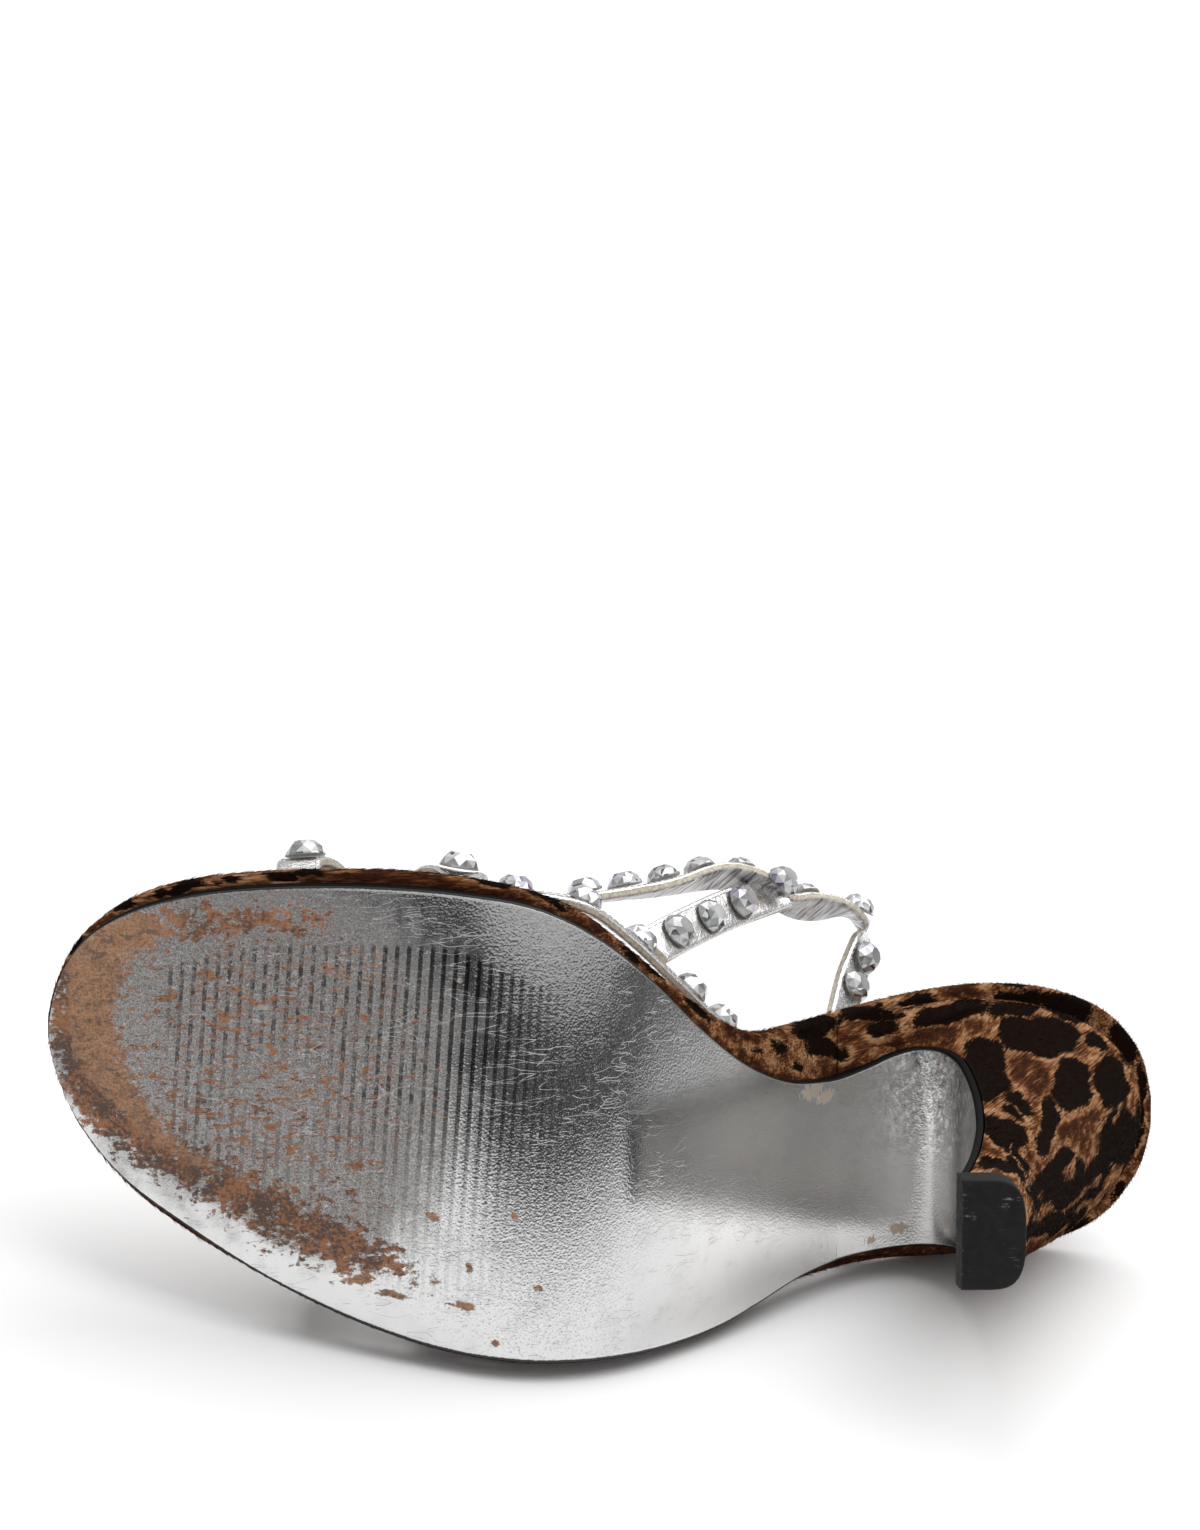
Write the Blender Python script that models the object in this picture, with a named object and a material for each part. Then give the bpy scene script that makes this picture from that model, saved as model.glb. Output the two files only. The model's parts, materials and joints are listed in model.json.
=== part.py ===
"""Right-foot stiletto mule sandal with a web of jewelled straps, lying on its outer side.

Sizes are millimetres in the shoe's own frame: x runs from the back of the heel to the toe,
y runs to the inner side of the foot, and z runs up from the plane that is walked on.
"""
import math

import bmesh
import bpy
import numpy as np
from mathutils import Vector
from mathutils.bvhtree import BVHTree

MM = 0.001

# Driving dimensions
GAP = 0.3
OUTSOLE_THICK = 2.2
FLAP_THICK = 1.3
EDGE_BEVEL = 0.9
INSOLE_THICK = 3.4
INSOLE_EDGE_ROUND = 0.8
INSOLE_ROOM = 8.0
LIFT_HEIGHT = 6.0
LIFT_FLARE = 0.2
LIFT_LIP = 0.6
STRAP_WIDTH = 7.4
STRAP_THICK = 1.8
STRAP_EDGE = 0.45
STONE_DIAMETER = 7.0
STONE_HEIGHT = 2.6
STONE_SIDES = 8
# Rings of a stone, back to front: share of the radius, share of the height, turn in sides
STONE_RINGS = ((0.96, 0.0, 0.0), (1.0, 0.16, 0.0), (0.8, 0.66, 0.5), (0.42, 1.0, 0.0))

# How it lies: turns of the shoe about its length and across it, in degrees
LIE_ROLL = 13.44
LIE_PITCH = 10.63

# How finely the sections are stepped
PLAN_STEPS = 2
BREAST_STEPS = 3
ACROSS = 4
STRAP_STEP = 4.5
STRAP_SMOOTH = 12
SEAT_RINGS = (0.0, 0.4, 0.7, 0.9, 1.0)
SEAT_RAYS = 24

# Underside of the insole along the foot: x, z
LAST_PROFILE = (
    (-4, 95.5), (0, 95.2), (10, 94.0), (20, 91.8), (30, 88.2), (40, 83.0), (50, 76.0), (60, 67.3),
    (70, 56.6), (80, 44.5), (90, 32.3), (100, 21.3), (108, 13.4), (115, 8.4), (122, 5.0), (130, 2.9),
    (138, 2.5), (146, 2.5), (154, 2.7), (169, 3.5), (184, 5.1), (194, 6.8), (204, 9.0), (210, 10.6),
)

# Outline of the insole, back of the heel to the toe: outer x, outer y, inner x, inner y
INSOLE_PLAN = (
    (0.2, -0.5, 0.2, 6.5), (1.8, -7.0, 1.8, 13.5), (4.6, -12.0, 4.6, 18.2), (8.5, -16.6, 8.7, 22.4),
    (14.0, -20.0, 14.5, 25.6), (22.0, -22.3, 23.0, 28.2), (33.0, -22.9, 35.0, 29.4),
    (45.0, -22.2, 47.0, 29.0), (57.0, -20.8, 60.0, 27.8), (68.0, -20.4, 72.0, 26.6),
    (78.0, -21.6, 82.0, 26.4), (87.0, -23.9, 90.0, 29.3), (96.0, -25.5, 98.5, 35.8),
    (106.0, -25.9, 107.5, 44.2), (116.0, -25.3, 116.5, 51.6), (127.0, -24.0, 128.0, 56.2),
    (140.0, -21.2, 142.0, 58.9), (153.0, -16.4, 156.0, 59.5), (166.0, -10.0, 169.0, 59.0),
    (179.0, -1.8, 180.5, 57.5), (190.0, 6.2, 190.0, 54.3), (197.8, 15.2, 198.0, 48.2),
    (202.0, 23.6, 202.0, 41.2), (203.6, 30.0, 203.6, 35.4),
)

# Outline of the outsole, toe to waist: outer x, outer y, inner x, inner y
OUTSOLE_PLAN = (
    (202.4, 30.0, 202.4, 34.8), (201.0, 24.2, 201.2, 40.2), (197.2, 16.4, 198.2, 46.0),
    (190.0, 7.8, 193.6, 50.4), (179.0, -0.3, 186.0, 54.0), (166.0, -8.5, 175.0, 56.4),
    (153.0, -14.9, 161.0, 57.4), (140.0, -19.7, 147.0, 57.2), (128.0, -22.4, 134.0, 56.0),
    (119.0, -23.6, 123.0, 53.5), (110.0, -24.2, 113.0, 47.8), (101.0, -24.4, 104.0, 39.5),
    (92.0, -23.6, 95.5, 30.3), (84.0, -21.6, 86.5, 22.1), (76.0, -19.3, 78.0, 17.4),
    (68.0, -18.2, 70.0, 16.0),
)

# Outer face of the leather from the waist round to the end of the breast: x, z, outer y, inner y
BREAST = (
    (60.0, 62.9, -18.0, 17.2), (55.0, 66.3, -17.9, 18.8), (50.4, 67.9, -17.8, 19.8),
    (46.6, 66.9, -17.6, 19.8), (44.0, 63.6, -17.3, 18.8), (43.0, 58.0, -16.7, 17.2),
    (42.9, 47.0, -15.0, 14.4), (44.4, 33.0, -12.9, 11.5), (47.4, 19.0, -11.3, 9.3),
    (51.0, 6.6, -10.6, 8.0),
)

# Heel behind each row of the breast from the second on: back x, back z, widest outer y, widest inner y
HEEL_BACK = (
    (3.0, 91.5, -20.0, 26.6), (5.2, 87.0, -19.6, 25.0), (8.2, 81.5, -19.1, 22.6),
    (11.8, 75.0, -18.3, 20.0), (16.0, 67.0, -17.2, 17.6), (23.0, 51.0, -14.9, 13.9),
    (30.5, 34.0, -12.7, 11.2), (36.5, 19.0, -11.2, 9.1), (40.8, 6.6, -10.6, 7.9),
)
# Top of the heel, under the insole: front x, back x, and outer and inner y at the front, then where widest
SEAT_FRONT = 56.2
SEAT_BACK = 2.6
SEAT_WIDTHS = (-18.4, 24.6, -20.4, 27.0)
HEEL_TURN = 0.35
HEEL_STATIONS = (0.0, 0.08, 0.2, 0.35, 0.5, 0.63, 0.75, 0.85, 0.93, 0.98, 1.0)

# Straps: x, y, height above the insole, and the way the outer face looks
TOE_STRAP = (
    (162.0, 56.6, -2.0, 0, 1, 0.1), (162.0, 58.2, 2.0, 0, 1, 0.1), (161.5, 59.6, 8.0, 0, 1, 0.3),
    (157.0, 55.6, 15.5, 0, 0.8, 0.6), (151.0, 38.5, 23.0, 0, 0.2, 1), (145.0, 18.0, 23.5, 0, -0.1, 1),
    (141.0, -1.0, 20.0, 0, -0.5, 0.9), (139.0, -12.6, 12.5, 0, -0.9, 0.5),
    (138.6, -16.8, 5.0, 0, -1, 0.2), (138.6, -18.6, 0.0, 0, -1, 0.1), (138.6, -18.6, -2.0, 0, -1, 0),
)
BALL_STRAP = (
    (134.0, 55.0, -2.0, 0, 1, 0.1), (134.0, 56.6, 2.0, 0, 1, 0.1), (134.8, 57.4, 6.5, 0, 1, 0.2),
    (140.5, 55.6, 13.5, 0, 0.8, 0.6), (146.6, 38.5, 22.6, 0, 0.2, 1), (151.0, 18.0, 23.0, 0, -0.1, 1),
    (155.0, 2.0, 18.5, 0, -0.6, 0.8), (157.5, -6.4, 11.0, 0, -0.9, 0.4),
    (158.0, -10.4, 4.5, 0, -1, 0.2), (158.0, -11.0, 0.0, 0, -1, 0.1), (158.0, -11.0, -2.0, 0, -1, 0),
)
INNER_SIDE = (
    (136.5, 55.6, 5.5, 0, 1, 0.3), (126.0, 54.4, 4.8, 0, 0.85, 0.5), (115.5, 52.4, 4.6, 0, 1, 0.1),
    (107.5, 46.9, 4.8, 0, 1, 0), (99.5, 39.0, 5.4, 0, 1, 0), (92.5, 31.5, 5.8, 0, 1, 0),
    (87.5, 26.4, 5.0, 0, 1, 0), (83.5, 22.6, 2.5, 0, 1, 0),
)
INNER_TOPLINE = (
    (148.0, 29.0, 22.6, 0, 0.1, 1), (133.0, 43.0, 24.5, 0, 0.5, 1), (121.0, 49.2, 25.0, 0, 0.8, 0.6),
    (111.0, 51.0, 25.0, 0, 0.95, 0.3), (99.0, 51.6, 24.0, 0, 0.88, 0.45),
    (88.0, 52.9, 20.5, -0.1, 0.65, 0.75), (80.5, 50.8, 17.5, -0.2, 0.65, 0.75),
    (75.8, 47.6, 16.5, -0.35, 0.75, 0.5), (70.5, 45.8, 14.5, -0.1, 0.6, 0.8),
    (64.0, 44.4, 12.8, -0.4, 0.55, 0.75), (59.2, 42.0, 12.5, -0.85, 0.5, 0.2),
    (58.8, 37.0, 11.0, -0.9, 0.4, -0.25), (62.0, 30.5, 6.0, -0.8, 0.4, -0.5),
    (64.4, 25.6, 0.0, -0.8, 0.4, -0.5), (65.4, 23.6, -3.0, -0.8, 0.4, -0.5),
)
INNER_BRACE = (
    (104.0, 42.6, 5.2, -0.3, 0.8, -0.5), (97.0, 44.8, 9.2, -0.55, 0.5, -0.65),
    (86.5, 47.4, 13.0, -0.6, 0.45, -0.65), (76.4, 49.0, 14.6, -0.6, 0.7, -0.3),
)
OUTER_SIDE = (
    (138.6, -17.2, 5.0, 0, -1, 0), (127.0, -18.0, 4.6, 0, -1, 0), (116.0, -18.4, 4.6, 0, -1, 0),
    (106.0, -18.3, 4.8, 0, -1, 0), (97.0, -17.5, 6.0, 0, -1, 0), (89.0, -16.2, 5.8, 0, -1, 0),
    (84.0, -15.0, 2.5, 0, -1, 0),
)
OUTER_TOPLINE = (
    (144.0, 15.0, 23.4, 0, -0.1, 1), (132.0, 3.0, 25.5, 0, -0.5, 0.9),
    (119.0, -7.4, 26.5, 0.2, -0.8, 0.6), (107.0, -12.8, 27.0, 0.3, -0.9, 0.37),
    (95.0, -13.9, 26.0, 0.3, -0.9, 0.37), (84.0, -13.5, 24.0, 0.3, -0.9, 0.37),
    (76.0, -13.0, 22.0, 0.3, -0.9, 0.37), (68.0, -12.4, 20.0, 0.2, -0.9, 0.3),
    (61.0, -12.0, 17.0, -0.3, -0.9, 0.1), (57.5, -12.4, 11.0, -0.8, -0.6, 0),
    (58.5, -13.6, 5.0, -0.8, -0.6, 0), (61.0, -14.8, 0.0, -0.8, -0.6, 0),
    (62.0, -15.2, -3.0, -0.8, -0.6, 0),
)
OUTER_BRACE = (
    (98.0, -17.6, 6.0, 0.2, -0.95, 0.2), (91.0, -15.7, 12.5, 0.2, -0.95, 0.2),
    (83.0, -13.6, 18.5, 0.2, -0.95, 0.2), (76.0, -13.0, 22.0, 0.3, -0.9, 0.3),
)

# Each strap: name, path, and where its stones sit along it, from 0 at its start to 1 at its end
STRAPS = (
    ("toe", TOE_STRAP, (0.105, 0.20, 0.30, 0.46, 0.59, 0.69, 0.79, 0.88)),
    ("ball", BALL_STRAP, (0.10, 0.20, 0.30, 0.61, 0.71, 0.80, 0.885)),
    ("inner_side", INNER_SIDE, (0.14, 0.31, 0.51, 0.74, 0.885)),
    ("inner_brace", INNER_BRACE, (0.24, 0.48, 0.71, 0.95)),
    ("inner_topline", INNER_TOPLINE, (0.13, 0.21, 0.298, 0.363, 0.433, 0.495, 0.56, 0.69, 0.78, 0.85, 0.908)),
    ("outer_side", OUTER_SIDE, (0.18, 0.33, 0.48, 0.63, 0.79)),
    ("outer_brace", OUTER_BRACE, (0.29, 0.50)),
    ("outer_topline", OUTER_TOPLINE, (0.13, 0.21, 0.29, 0.37, 0.45, 0.527, 0.63, 0.72, 0.80, 0.88)),
)

# Finishes: colour, roughness, metallic
FINISHES = {
    "silver_leather": ((0.62, 0.62, 0.63), 0.32, 0.85),
    "hair_calf": ((0.20, 0.09, 0.04), 0.75, 0.0),
    "black_rubber": ((0.02, 0.022, 0.022), 0.55, 0.0),
    "strap_leather": ((0.72, 0.72, 0.72), 0.28, 0.9),
    "crystal": ((0.70, 0.72, 0.74), 0.08, 0.3),
}


def smooth(rows, steps):
    """Rows of a Catmull-Rom curve through the given rows, with steps to each gap."""
    out = []
    last = len(rows) - 1
    for i in range(last):
        four = (rows[max(i - 1, 0)], rows[i], rows[i + 1], rows[min(i + 2, last)])
        for k in range(steps):
            t = k / steps
            out.append(tuple(
                b + 0.5 * t * (c - a + t * (2 * a - 5 * b + 4 * c - d + t * (3 * (b - c) + d - a)))
                for a, b, c, d in zip(*four)))
    out.append(tuple(rows[last]))
    return out


PROFILE = np.array(smooth(LAST_PROFILE, 8))


def bed(x, y, rise):
    """Point that lies rise above the underside of the insole, square to it."""
    z = np.interp(x, PROFILE[:, 0], PROFILE[:, 1])
    step = 0.5
    before, after = np.interp((x - step, x + step), PROFILE[:, 0], PROFILE[:, 1])
    fall = after - before
    normal = Vector((-fall, 0.0, 2 * step)).normalized()
    return Vector((x, y, z)) + rise * normal


TOP_LINE = np.array([bed(x, 0.0, INSOLE_THICK) for x in np.linspace(0.0, 205.0, 206)])


def on_insole(x, y, height):
    """Point at a height straight above the top of the insole."""
    return Vector((x, y, np.interp(x, TOP_LINE[:, 0], TOP_LINE[:, 2]) + height))


def finish_of(name):
    material = bpy.data.materials.get(name)
    if material is None:
        colour, roughness, metallic = FINISHES[name]
        material = bpy.data.materials.new(name)
        material.use_nodes = True
        shader = material.node_tree.nodes["Principled BSDF"]
        shader.inputs["Base Color"].default_value = (*colour, 1.0)
        shader.inputs["Roughness"].default_value = roughness
        shader.inputs["Metallic"].default_value = metallic
    return material


def add_object(name, bm, finish, sharp_degrees=35.0):
    """Object made from a bmesh in millimetres, with its faces turned outwards."""
    bmesh.ops.recalc_face_normals(bm, faces=bm.faces)
    bmesh.ops.scale(bm, vec=(MM, MM, MM), verts=bm.verts)
    mesh = bpy.data.meshes.new(name)
    bm.to_mesh(mesh)
    bm.free()
    mesh.shade_smooth()
    mesh.set_sharp_from_angle(angle=math.radians(sharp_degrees))
    mesh.materials.append(finish_of(finish))
    obj = bpy.data.objects.new(name, mesh)
    bpy.context.scene.collection.objects.link(obj)
    return obj


def skin(rings, cap_first=True, cap_last=True):
    """Bmesh of closed rings of points joined in order."""
    bm = bmesh.new()
    loops = [[bm.verts.new(point) for point in ring] for ring in rings]
    for a, b in zip(loops, loops[1:]):
        for i in range(len(a)):
            j = (i + 1) % len(a)
            bm.faces.new((a[i], a[j], b[j], b[i]))
    if cap_first:
        bm.faces.new(loops[0])
    if cap_last:
        bm.faces.new(loops[-1])
    return bm, loops


def lerp(a, b, t):
    return a + (b - a) * t


def insole_rings(low, high, edge, grow):
    """Sections of a board on the insole's outline, from rise low to rise high."""
    rings = []
    for outer_x, outer_y, inner_x, inner_y in smooth(INSOLE_PLAN, PLAN_STEPS):
        width = inner_y - outer_y
        pull = min(edge, 0.3 * width) / width
        spread = grow / width

        def at(t, rise):
            return bed(lerp(outer_x, inner_x, t), lerp(outer_y, inner_y, t), rise)

        places = [lerp(pull - spread, 1 - pull + spread, k / ACROSS) for k in range(ACROSS + 1)]
        middle = 0.5 * (low + high)
        rings.append([at(t, low) for t in places] + [at(1 + spread, middle)]
                     + [at(t, high) for t in reversed(places)] + [at(-spread, middle)])
    return rings


def make_insole():
    bm, _ = skin(insole_rings(0.0, INSOLE_THICK, INSOLE_EDGE_ROUND, 0.0))
    return add_object("insole", bm, "hair_calf")


def sole_sections():
    """Outer and inner face of the sole leather from toe to waist, as rows of point pairs."""
    rows = []
    for outer_x, outer_y, inner_x, inner_y in smooth(OUTSOLE_PLAN, PLAN_STEPS):
        row = []
        for k in range(ACROSS + 1):
            x = lerp(outer_x, inner_x, k / ACROSS)
            y = lerp(outer_y, inner_y, k / ACROSS)
            row.append((bed(x, y, -GAP - OUTSOLE_THICK), bed(x, y, -GAP)))
        rows.append(row)
    return rows


def breast_sections(sole):
    """The same rows on round the bend and down the breast, with the leather's way in at each row."""
    lead = []
    for row in sole[-1 - 2 * PLAN_STEPS::PLAN_STEPS]:
        middle = row[ACROSS // 2][0]
        lead.append((middle.x, middle.z, row[0][0].y, row[-1][0].y))
    dense = smooth(lead + list(BREAST), BREAST_STEPS)
    first = (len(lead) - 1) * BREAST_STEPS
    rows = []
    for i in range(first + 1, len(dense)):
        x, z, outer_y, inner_y = dense[i]
        before = dense[i - 1]
        after = dense[min(i + 1, len(dense) - 1)]
        along = Vector((after[0] - before[0], 0.0, after[1] - before[1])).normalized()
        inward = Vector((along.z, 0.0, -along.x))
        share = (i - first) / (len(dense) - 1 - first)
        thick = lerp(OUTSOLE_THICK, FLAP_THICK, min(1.0, 2 * share))
        row = []
        for k in range(ACROSS + 1):
            point = Vector((x, lerp(outer_y, inner_y, k / ACROSS), z))
            row.append((point, point + thick * inward))
        rows.append((row, inward))
    return rows


def make_outsole(sole, breast):
    rings = []
    for row in sole + [row for row, _ in breast]:
        across = row[-1][0] - row[0][0]
        pull = min(EDGE_BEVEL, 0.3 * across.length) * across.normalized()
        low = [outer for outer, _ in row]
        low[0] = low[0] + pull
        low[-1] = low[-1] - pull
        rings.append(low + [inner for _, inner in reversed(row)])
    bm, _ = skin(rings)
    return add_object("outsole", bm, "silver_leather")


def heel_half(share, front, widest):
    """Half width of a heel section at a share of the way from its front to its back."""
    if share < HEEL_TURN:
        return lerp(front, widest, math.sin(0.5 * math.pi * share / HEEL_TURN))
    return widest * (1 - ((share - HEEL_TURN) / (1 - HEEL_TURN)) ** 2.3) ** 0.5


def heel_ring(outer_front, inner_front, outer_widest, inner_widest, place):
    """D-shaped section, flat at the front, whose points are set by a place on it and a width."""
    centre_front = 0.5 * (outer_front + inner_front)
    centre_back = 0.5 * (outer_widest + inner_widest)
    sides = []
    for front_y, widest_y in ((inner_front, inner_widest), (outer_front, outer_widest)):
        side = []
        for share in HEEL_STATIONS:
            centre = lerp(centre_front, centre_back, min(1.0, share / HEEL_TURN))
            half = heel_half(share, front_y - centre_front, widest_y - centre_back)
            side.append(place(share, centre + half))
        sides.append(side)
    return sides[0] + sides[1][-2::-1]


def make_heel(breast):
    used = breast[BREAST_STEPS * 2 - 1:]
    backs = smooth(HEEL_BACK, BREAST_STEPS)
    rings = []

    def on_seat(share, y):
        return bed(lerp(SEAT_FRONT, SEAT_BACK, share), y, -GAP)

    rings.append(heel_ring(*SEAT_WIDTHS, on_seat))
    for (row, inward), (back_x, back_z, outer_widest, inner_widest) in zip(used, backs):
        front = row[0][1] + GAP * inward
        back = Vector((back_x, 0.0, back_z))

        def between(share, y):
            point = front.lerp(back, share)
            return Vector((point.x, y, point.z))

        rings.append(heel_ring(row[0][1].y, row[-1][1].y, outer_widest, inner_widest, between))
    bm, loops = skin(rings, cap_first=False)
    top = loops[0]
    last = len(top) - 1
    for i in range(len(HEEL_STATIONS) - 1):
        corners = (top[i], top[i + 1], top[last - i - 1], top[last - i])
        bm.faces.new(corners if i + 1 < last - i - 1 else (top[i], top[i + 1], top[last - i]))
    return add_object("heel", bm, "hair_calf")


def make_top_piece():
    front_x, _, outer_y, inner_y = BREAST[-1]
    back_x = HEEL_BACK[-1][0]
    rings = []
    for height, grow in ((0.0, 0.0), (LIFT_HEIGHT, LIFT_FLARE)):

        def at(share, y):
            return Vector((lerp(front_x + grow + LIFT_LIP, back_x - grow, share), y, height))

        rings.append(heel_ring(outer_y - grow, inner_y + grow, outer_y - grow, inner_y + grow, at))
    bm, _ = skin(rings)
    return add_object("top_piece", bm, "black_rubber")


class Strap:
    """A flat strap along a smooth path, with an outer face that looks a given way."""

    def __init__(self, rows):
        points = []
        for x, y, height, *face in rows:
            points.append((*on_insole(x, y, height), *face))
        fine = np.array(smooth(points, STRAP_SMOOTH))
        length = np.concatenate(([0.0], np.cumsum(np.linalg.norm(np.diff(fine[:, :3], axis=0), axis=1))))
        self.length = length[-1]
        self.fine = fine
        self.run = length

    def value(self, distance):
        return [np.interp(distance, self.run, self.fine[:, k]) for k in range(6)]

    def frame(self, distance):
        """Middle, outward, along and sideways directions at a distance from the strap's start."""
        here = self.value(distance)
        middle = Vector(here[:3])
        step = 0.8
        before = Vector(self.value(distance - step)[:3])
        after = Vector(self.value(distance + step)[:3])
        along = (after - before).normalized()
        face = Vector(here[3:])
        out = (face - face.dot(along) * along).normalized()
        return middle, out, along, along.cross(out)

    def body(self):
        half = 0.5 * STRAP_WIDTH
        thick = 0.5 * STRAP_THICK
        section = (
            (-half, -thick + STRAP_EDGE), (-half + STRAP_EDGE, -thick), (half - STRAP_EDGE, -thick),
            (half, -thick + STRAP_EDGE), (half, thick - STRAP_EDGE), (half - STRAP_EDGE, thick),
            (-half + STRAP_EDGE, thick), (-half, thick - STRAP_EDGE))
        count = max(4, round(self.length / STRAP_STEP))
        rings = []
        for k in range(count + 1):
            middle, out, _, aside = self.frame(self.length * k / count)
            rings.append([middle + w * aside + t * out for w, t in section])
        return rings


def join_upper(straps):
    """All the straps as one solid, cut off just above the insole."""
    pieces = []
    for strap, (name, _, _) in zip(straps, STRAPS):
        bm, _ = skin(strap.body())
        pieces.append(add_object("strap_" + name, bm, "strap_leather"))
    bm, _ = skin(insole_rings(-INSOLE_ROOM, INSOLE_THICK + GAP, 0.0, GAP))
    pieces.append(add_object("insole_room", bm, "strap_leather"))
    upper = pieces[0]
    for piece in pieces[1:]:
        cut = upper.modifiers.new(piece.name, "BOOLEAN")
        cut.operation = "DIFFERENCE" if piece is pieces[-1] else "UNION"
        cut.object = piece
    bpy.context.view_layer.update()
    mesh = bpy.data.meshes.new_from_object(upper.evaluated_get(bpy.context.evaluated_depsgraph_get()))
    mesh.name = "upper"
    for piece in pieces:
        bpy.data.objects.remove(piece)
    joined = bpy.data.objects.new("upper", mesh)
    bpy.context.scene.collection.objects.link(joined)
    return joined


def stone_rings():
    """Rings of a domed stone on its flat back."""
    radius = 0.5 * STONE_DIAMETER
    turn = 2 * math.pi / STONE_SIDES
    rings = []
    for reach, height, shift in STONE_RINGS:
        ring = []
        for k in range(STONE_SIDES):
            angle = turn * (k + shift)
            ring.append(Vector((reach * radius * math.cos(angle), reach * radius * math.sin(angle),
                                height * STONE_HEIGHT)))
        rings.append(ring)
    return rings


def seat_height(tree, middle, out, along, aside):
    """Height of the straps' highest spot under a stone, above the middle of its strap."""
    reach = 0.5 * STONE_DIAMETER
    above = 0.5 * STONE_DIAMETER
    highest = 0.0
    for share in SEAT_RINGS:
        for k in range(SEAT_RAYS):
            turn = 2 * math.pi * k / SEAT_RAYS
            start = middle + share * reach * (math.cos(turn) * along + math.sin(turn) * aside) + above * out
            hit = tree.ray_cast(start * MM, -out, 2 * above * MM)[3]
            if hit is not None:
                highest = max(highest, above - hit / MM)
    return highest


def make_stones(straps, upper):
    """Stones along every strap, each set just clear of what lies under it."""
    tree = BVHTree.FromPolygons([vert.co for vert in upper.data.vertices],
                                [face.vertices for face in upper.data.polygons])
    stones = []
    for strap, (_, _, places) in zip(straps, STRAPS):
        for place in places:
            middle, out, along, aside = strap.frame(strap.length * place)
            base = middle + (seat_height(tree, middle, out, along, aside) + GAP) * out
            rings = [[base + p.x * along + p.y * aside + p.z * out for p in ring] for ring in stone_rings()]
            bm, _ = skin(rings)
            name = "crystal_%02d" % (len(stones) + 1)
            stones.append(add_object(name, bm, "crystal", sharp_degrees=5.0))
    return stones


def lay_down(pieces):
    """Turn the shoe onto its outer side, and set the middle of its footprint at the origin."""
    rest = bpy.data.objects.new("rest", None)
    bpy.context.scene.collection.objects.link(rest)
    rest.rotation_euler = (math.radians(90 + LIE_ROLL), math.radians(LIE_PITCH), math.pi)
    turn = rest.rotation_euler.to_matrix()
    corners = np.array([turn @ vert.co for piece in pieces for vert in piece.data.vertices])
    low = corners.min(axis=0)
    high = corners.max(axis=0)
    rest.location = (-0.5 * (low[0] + high[0]), -0.5 * (low[1] + high[1]), -low[2])
    for piece in pieces:
        piece.parent = rest


def main():
    for obj in list(bpy.data.objects):
        bpy.data.objects.remove(obj, do_unlink=True)
    sole = sole_sections()
    breast = breast_sections(sole)
    straps = [Strap(path) for _, path, _ in STRAPS]
    upper = join_upper(straps)
    pieces = [make_insole(), make_outsole(sole, breast), make_heel(breast), make_top_piece(), upper]
    pieces += make_stones(straps, upper)
    lay_down(pieces)


main()
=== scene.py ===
import json
import math

import bmesh
import bpy
import numpy as np
from mathutils import Euler, Matrix, Vector

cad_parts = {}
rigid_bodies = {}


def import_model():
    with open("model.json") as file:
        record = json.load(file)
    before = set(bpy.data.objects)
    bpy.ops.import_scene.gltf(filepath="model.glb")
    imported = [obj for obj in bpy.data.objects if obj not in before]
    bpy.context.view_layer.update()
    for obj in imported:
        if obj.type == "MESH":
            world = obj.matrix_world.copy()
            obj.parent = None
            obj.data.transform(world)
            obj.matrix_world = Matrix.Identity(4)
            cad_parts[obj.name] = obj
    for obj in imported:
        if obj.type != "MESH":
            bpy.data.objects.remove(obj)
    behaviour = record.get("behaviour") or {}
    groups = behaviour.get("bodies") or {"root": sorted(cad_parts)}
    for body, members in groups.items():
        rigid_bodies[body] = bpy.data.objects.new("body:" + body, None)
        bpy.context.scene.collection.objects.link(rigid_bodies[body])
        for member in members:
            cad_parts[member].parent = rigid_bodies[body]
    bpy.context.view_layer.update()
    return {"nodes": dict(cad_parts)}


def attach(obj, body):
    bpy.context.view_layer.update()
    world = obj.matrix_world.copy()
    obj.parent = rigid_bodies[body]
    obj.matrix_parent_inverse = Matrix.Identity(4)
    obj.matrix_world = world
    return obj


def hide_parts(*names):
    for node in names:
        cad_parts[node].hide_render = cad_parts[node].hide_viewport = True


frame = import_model()
print("frame loaded:", len(frame["nodes"]), "nodes")

# the shoe's own millimetres: x heel to toe, y to the inner side, z up from the walked-on plane
lie = {
    "roll": 13.44, "pitch": 10.63, "shift": (0.1010285, -0.0476288, 0.0484575),  # degrees, and metres
    "eye": (130.1, 108.7, -518.7), "target": (112.0, 77.0, 0.0),  # the camera, and what it looks at
}
mm = 0.001
lieTurn = Euler((math.radians(90 + lie["roll"]), math.radians(lie["pitch"]), math.pi)).to_matrix()


def lay(points):
    return np.asarray(points, float) @ np.array(lieTurn).T * mm + np.array(lie["shift"])


def layWay(way):
    return lieTurn @ Vector(way)


def smoothRows(rows, steps):  # Catmull-Rom through the rows
    rows = np.asarray(rows, float)
    padded = np.vstack([rows[:1], rows, rows[-1:]])
    out = []
    for a, b, c, d in zip(padded[:-3], padded[1:-2], padded[2:-1], padded[3:]):
        for t in np.arange(steps) / steps:
            out.append(b + 0.5 * t * (c - a + t * (2 * a - 5 * b + 4 * c - d + t * (3 * (b - c) + d - a))))
    return np.array(out + [rows[-1]])


def lerp(a, b, t):
    return a + (b - a) * t


def unit(ways):
    return ways / np.linalg.norm(ways, axis=-1, keepdims=True)


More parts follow.
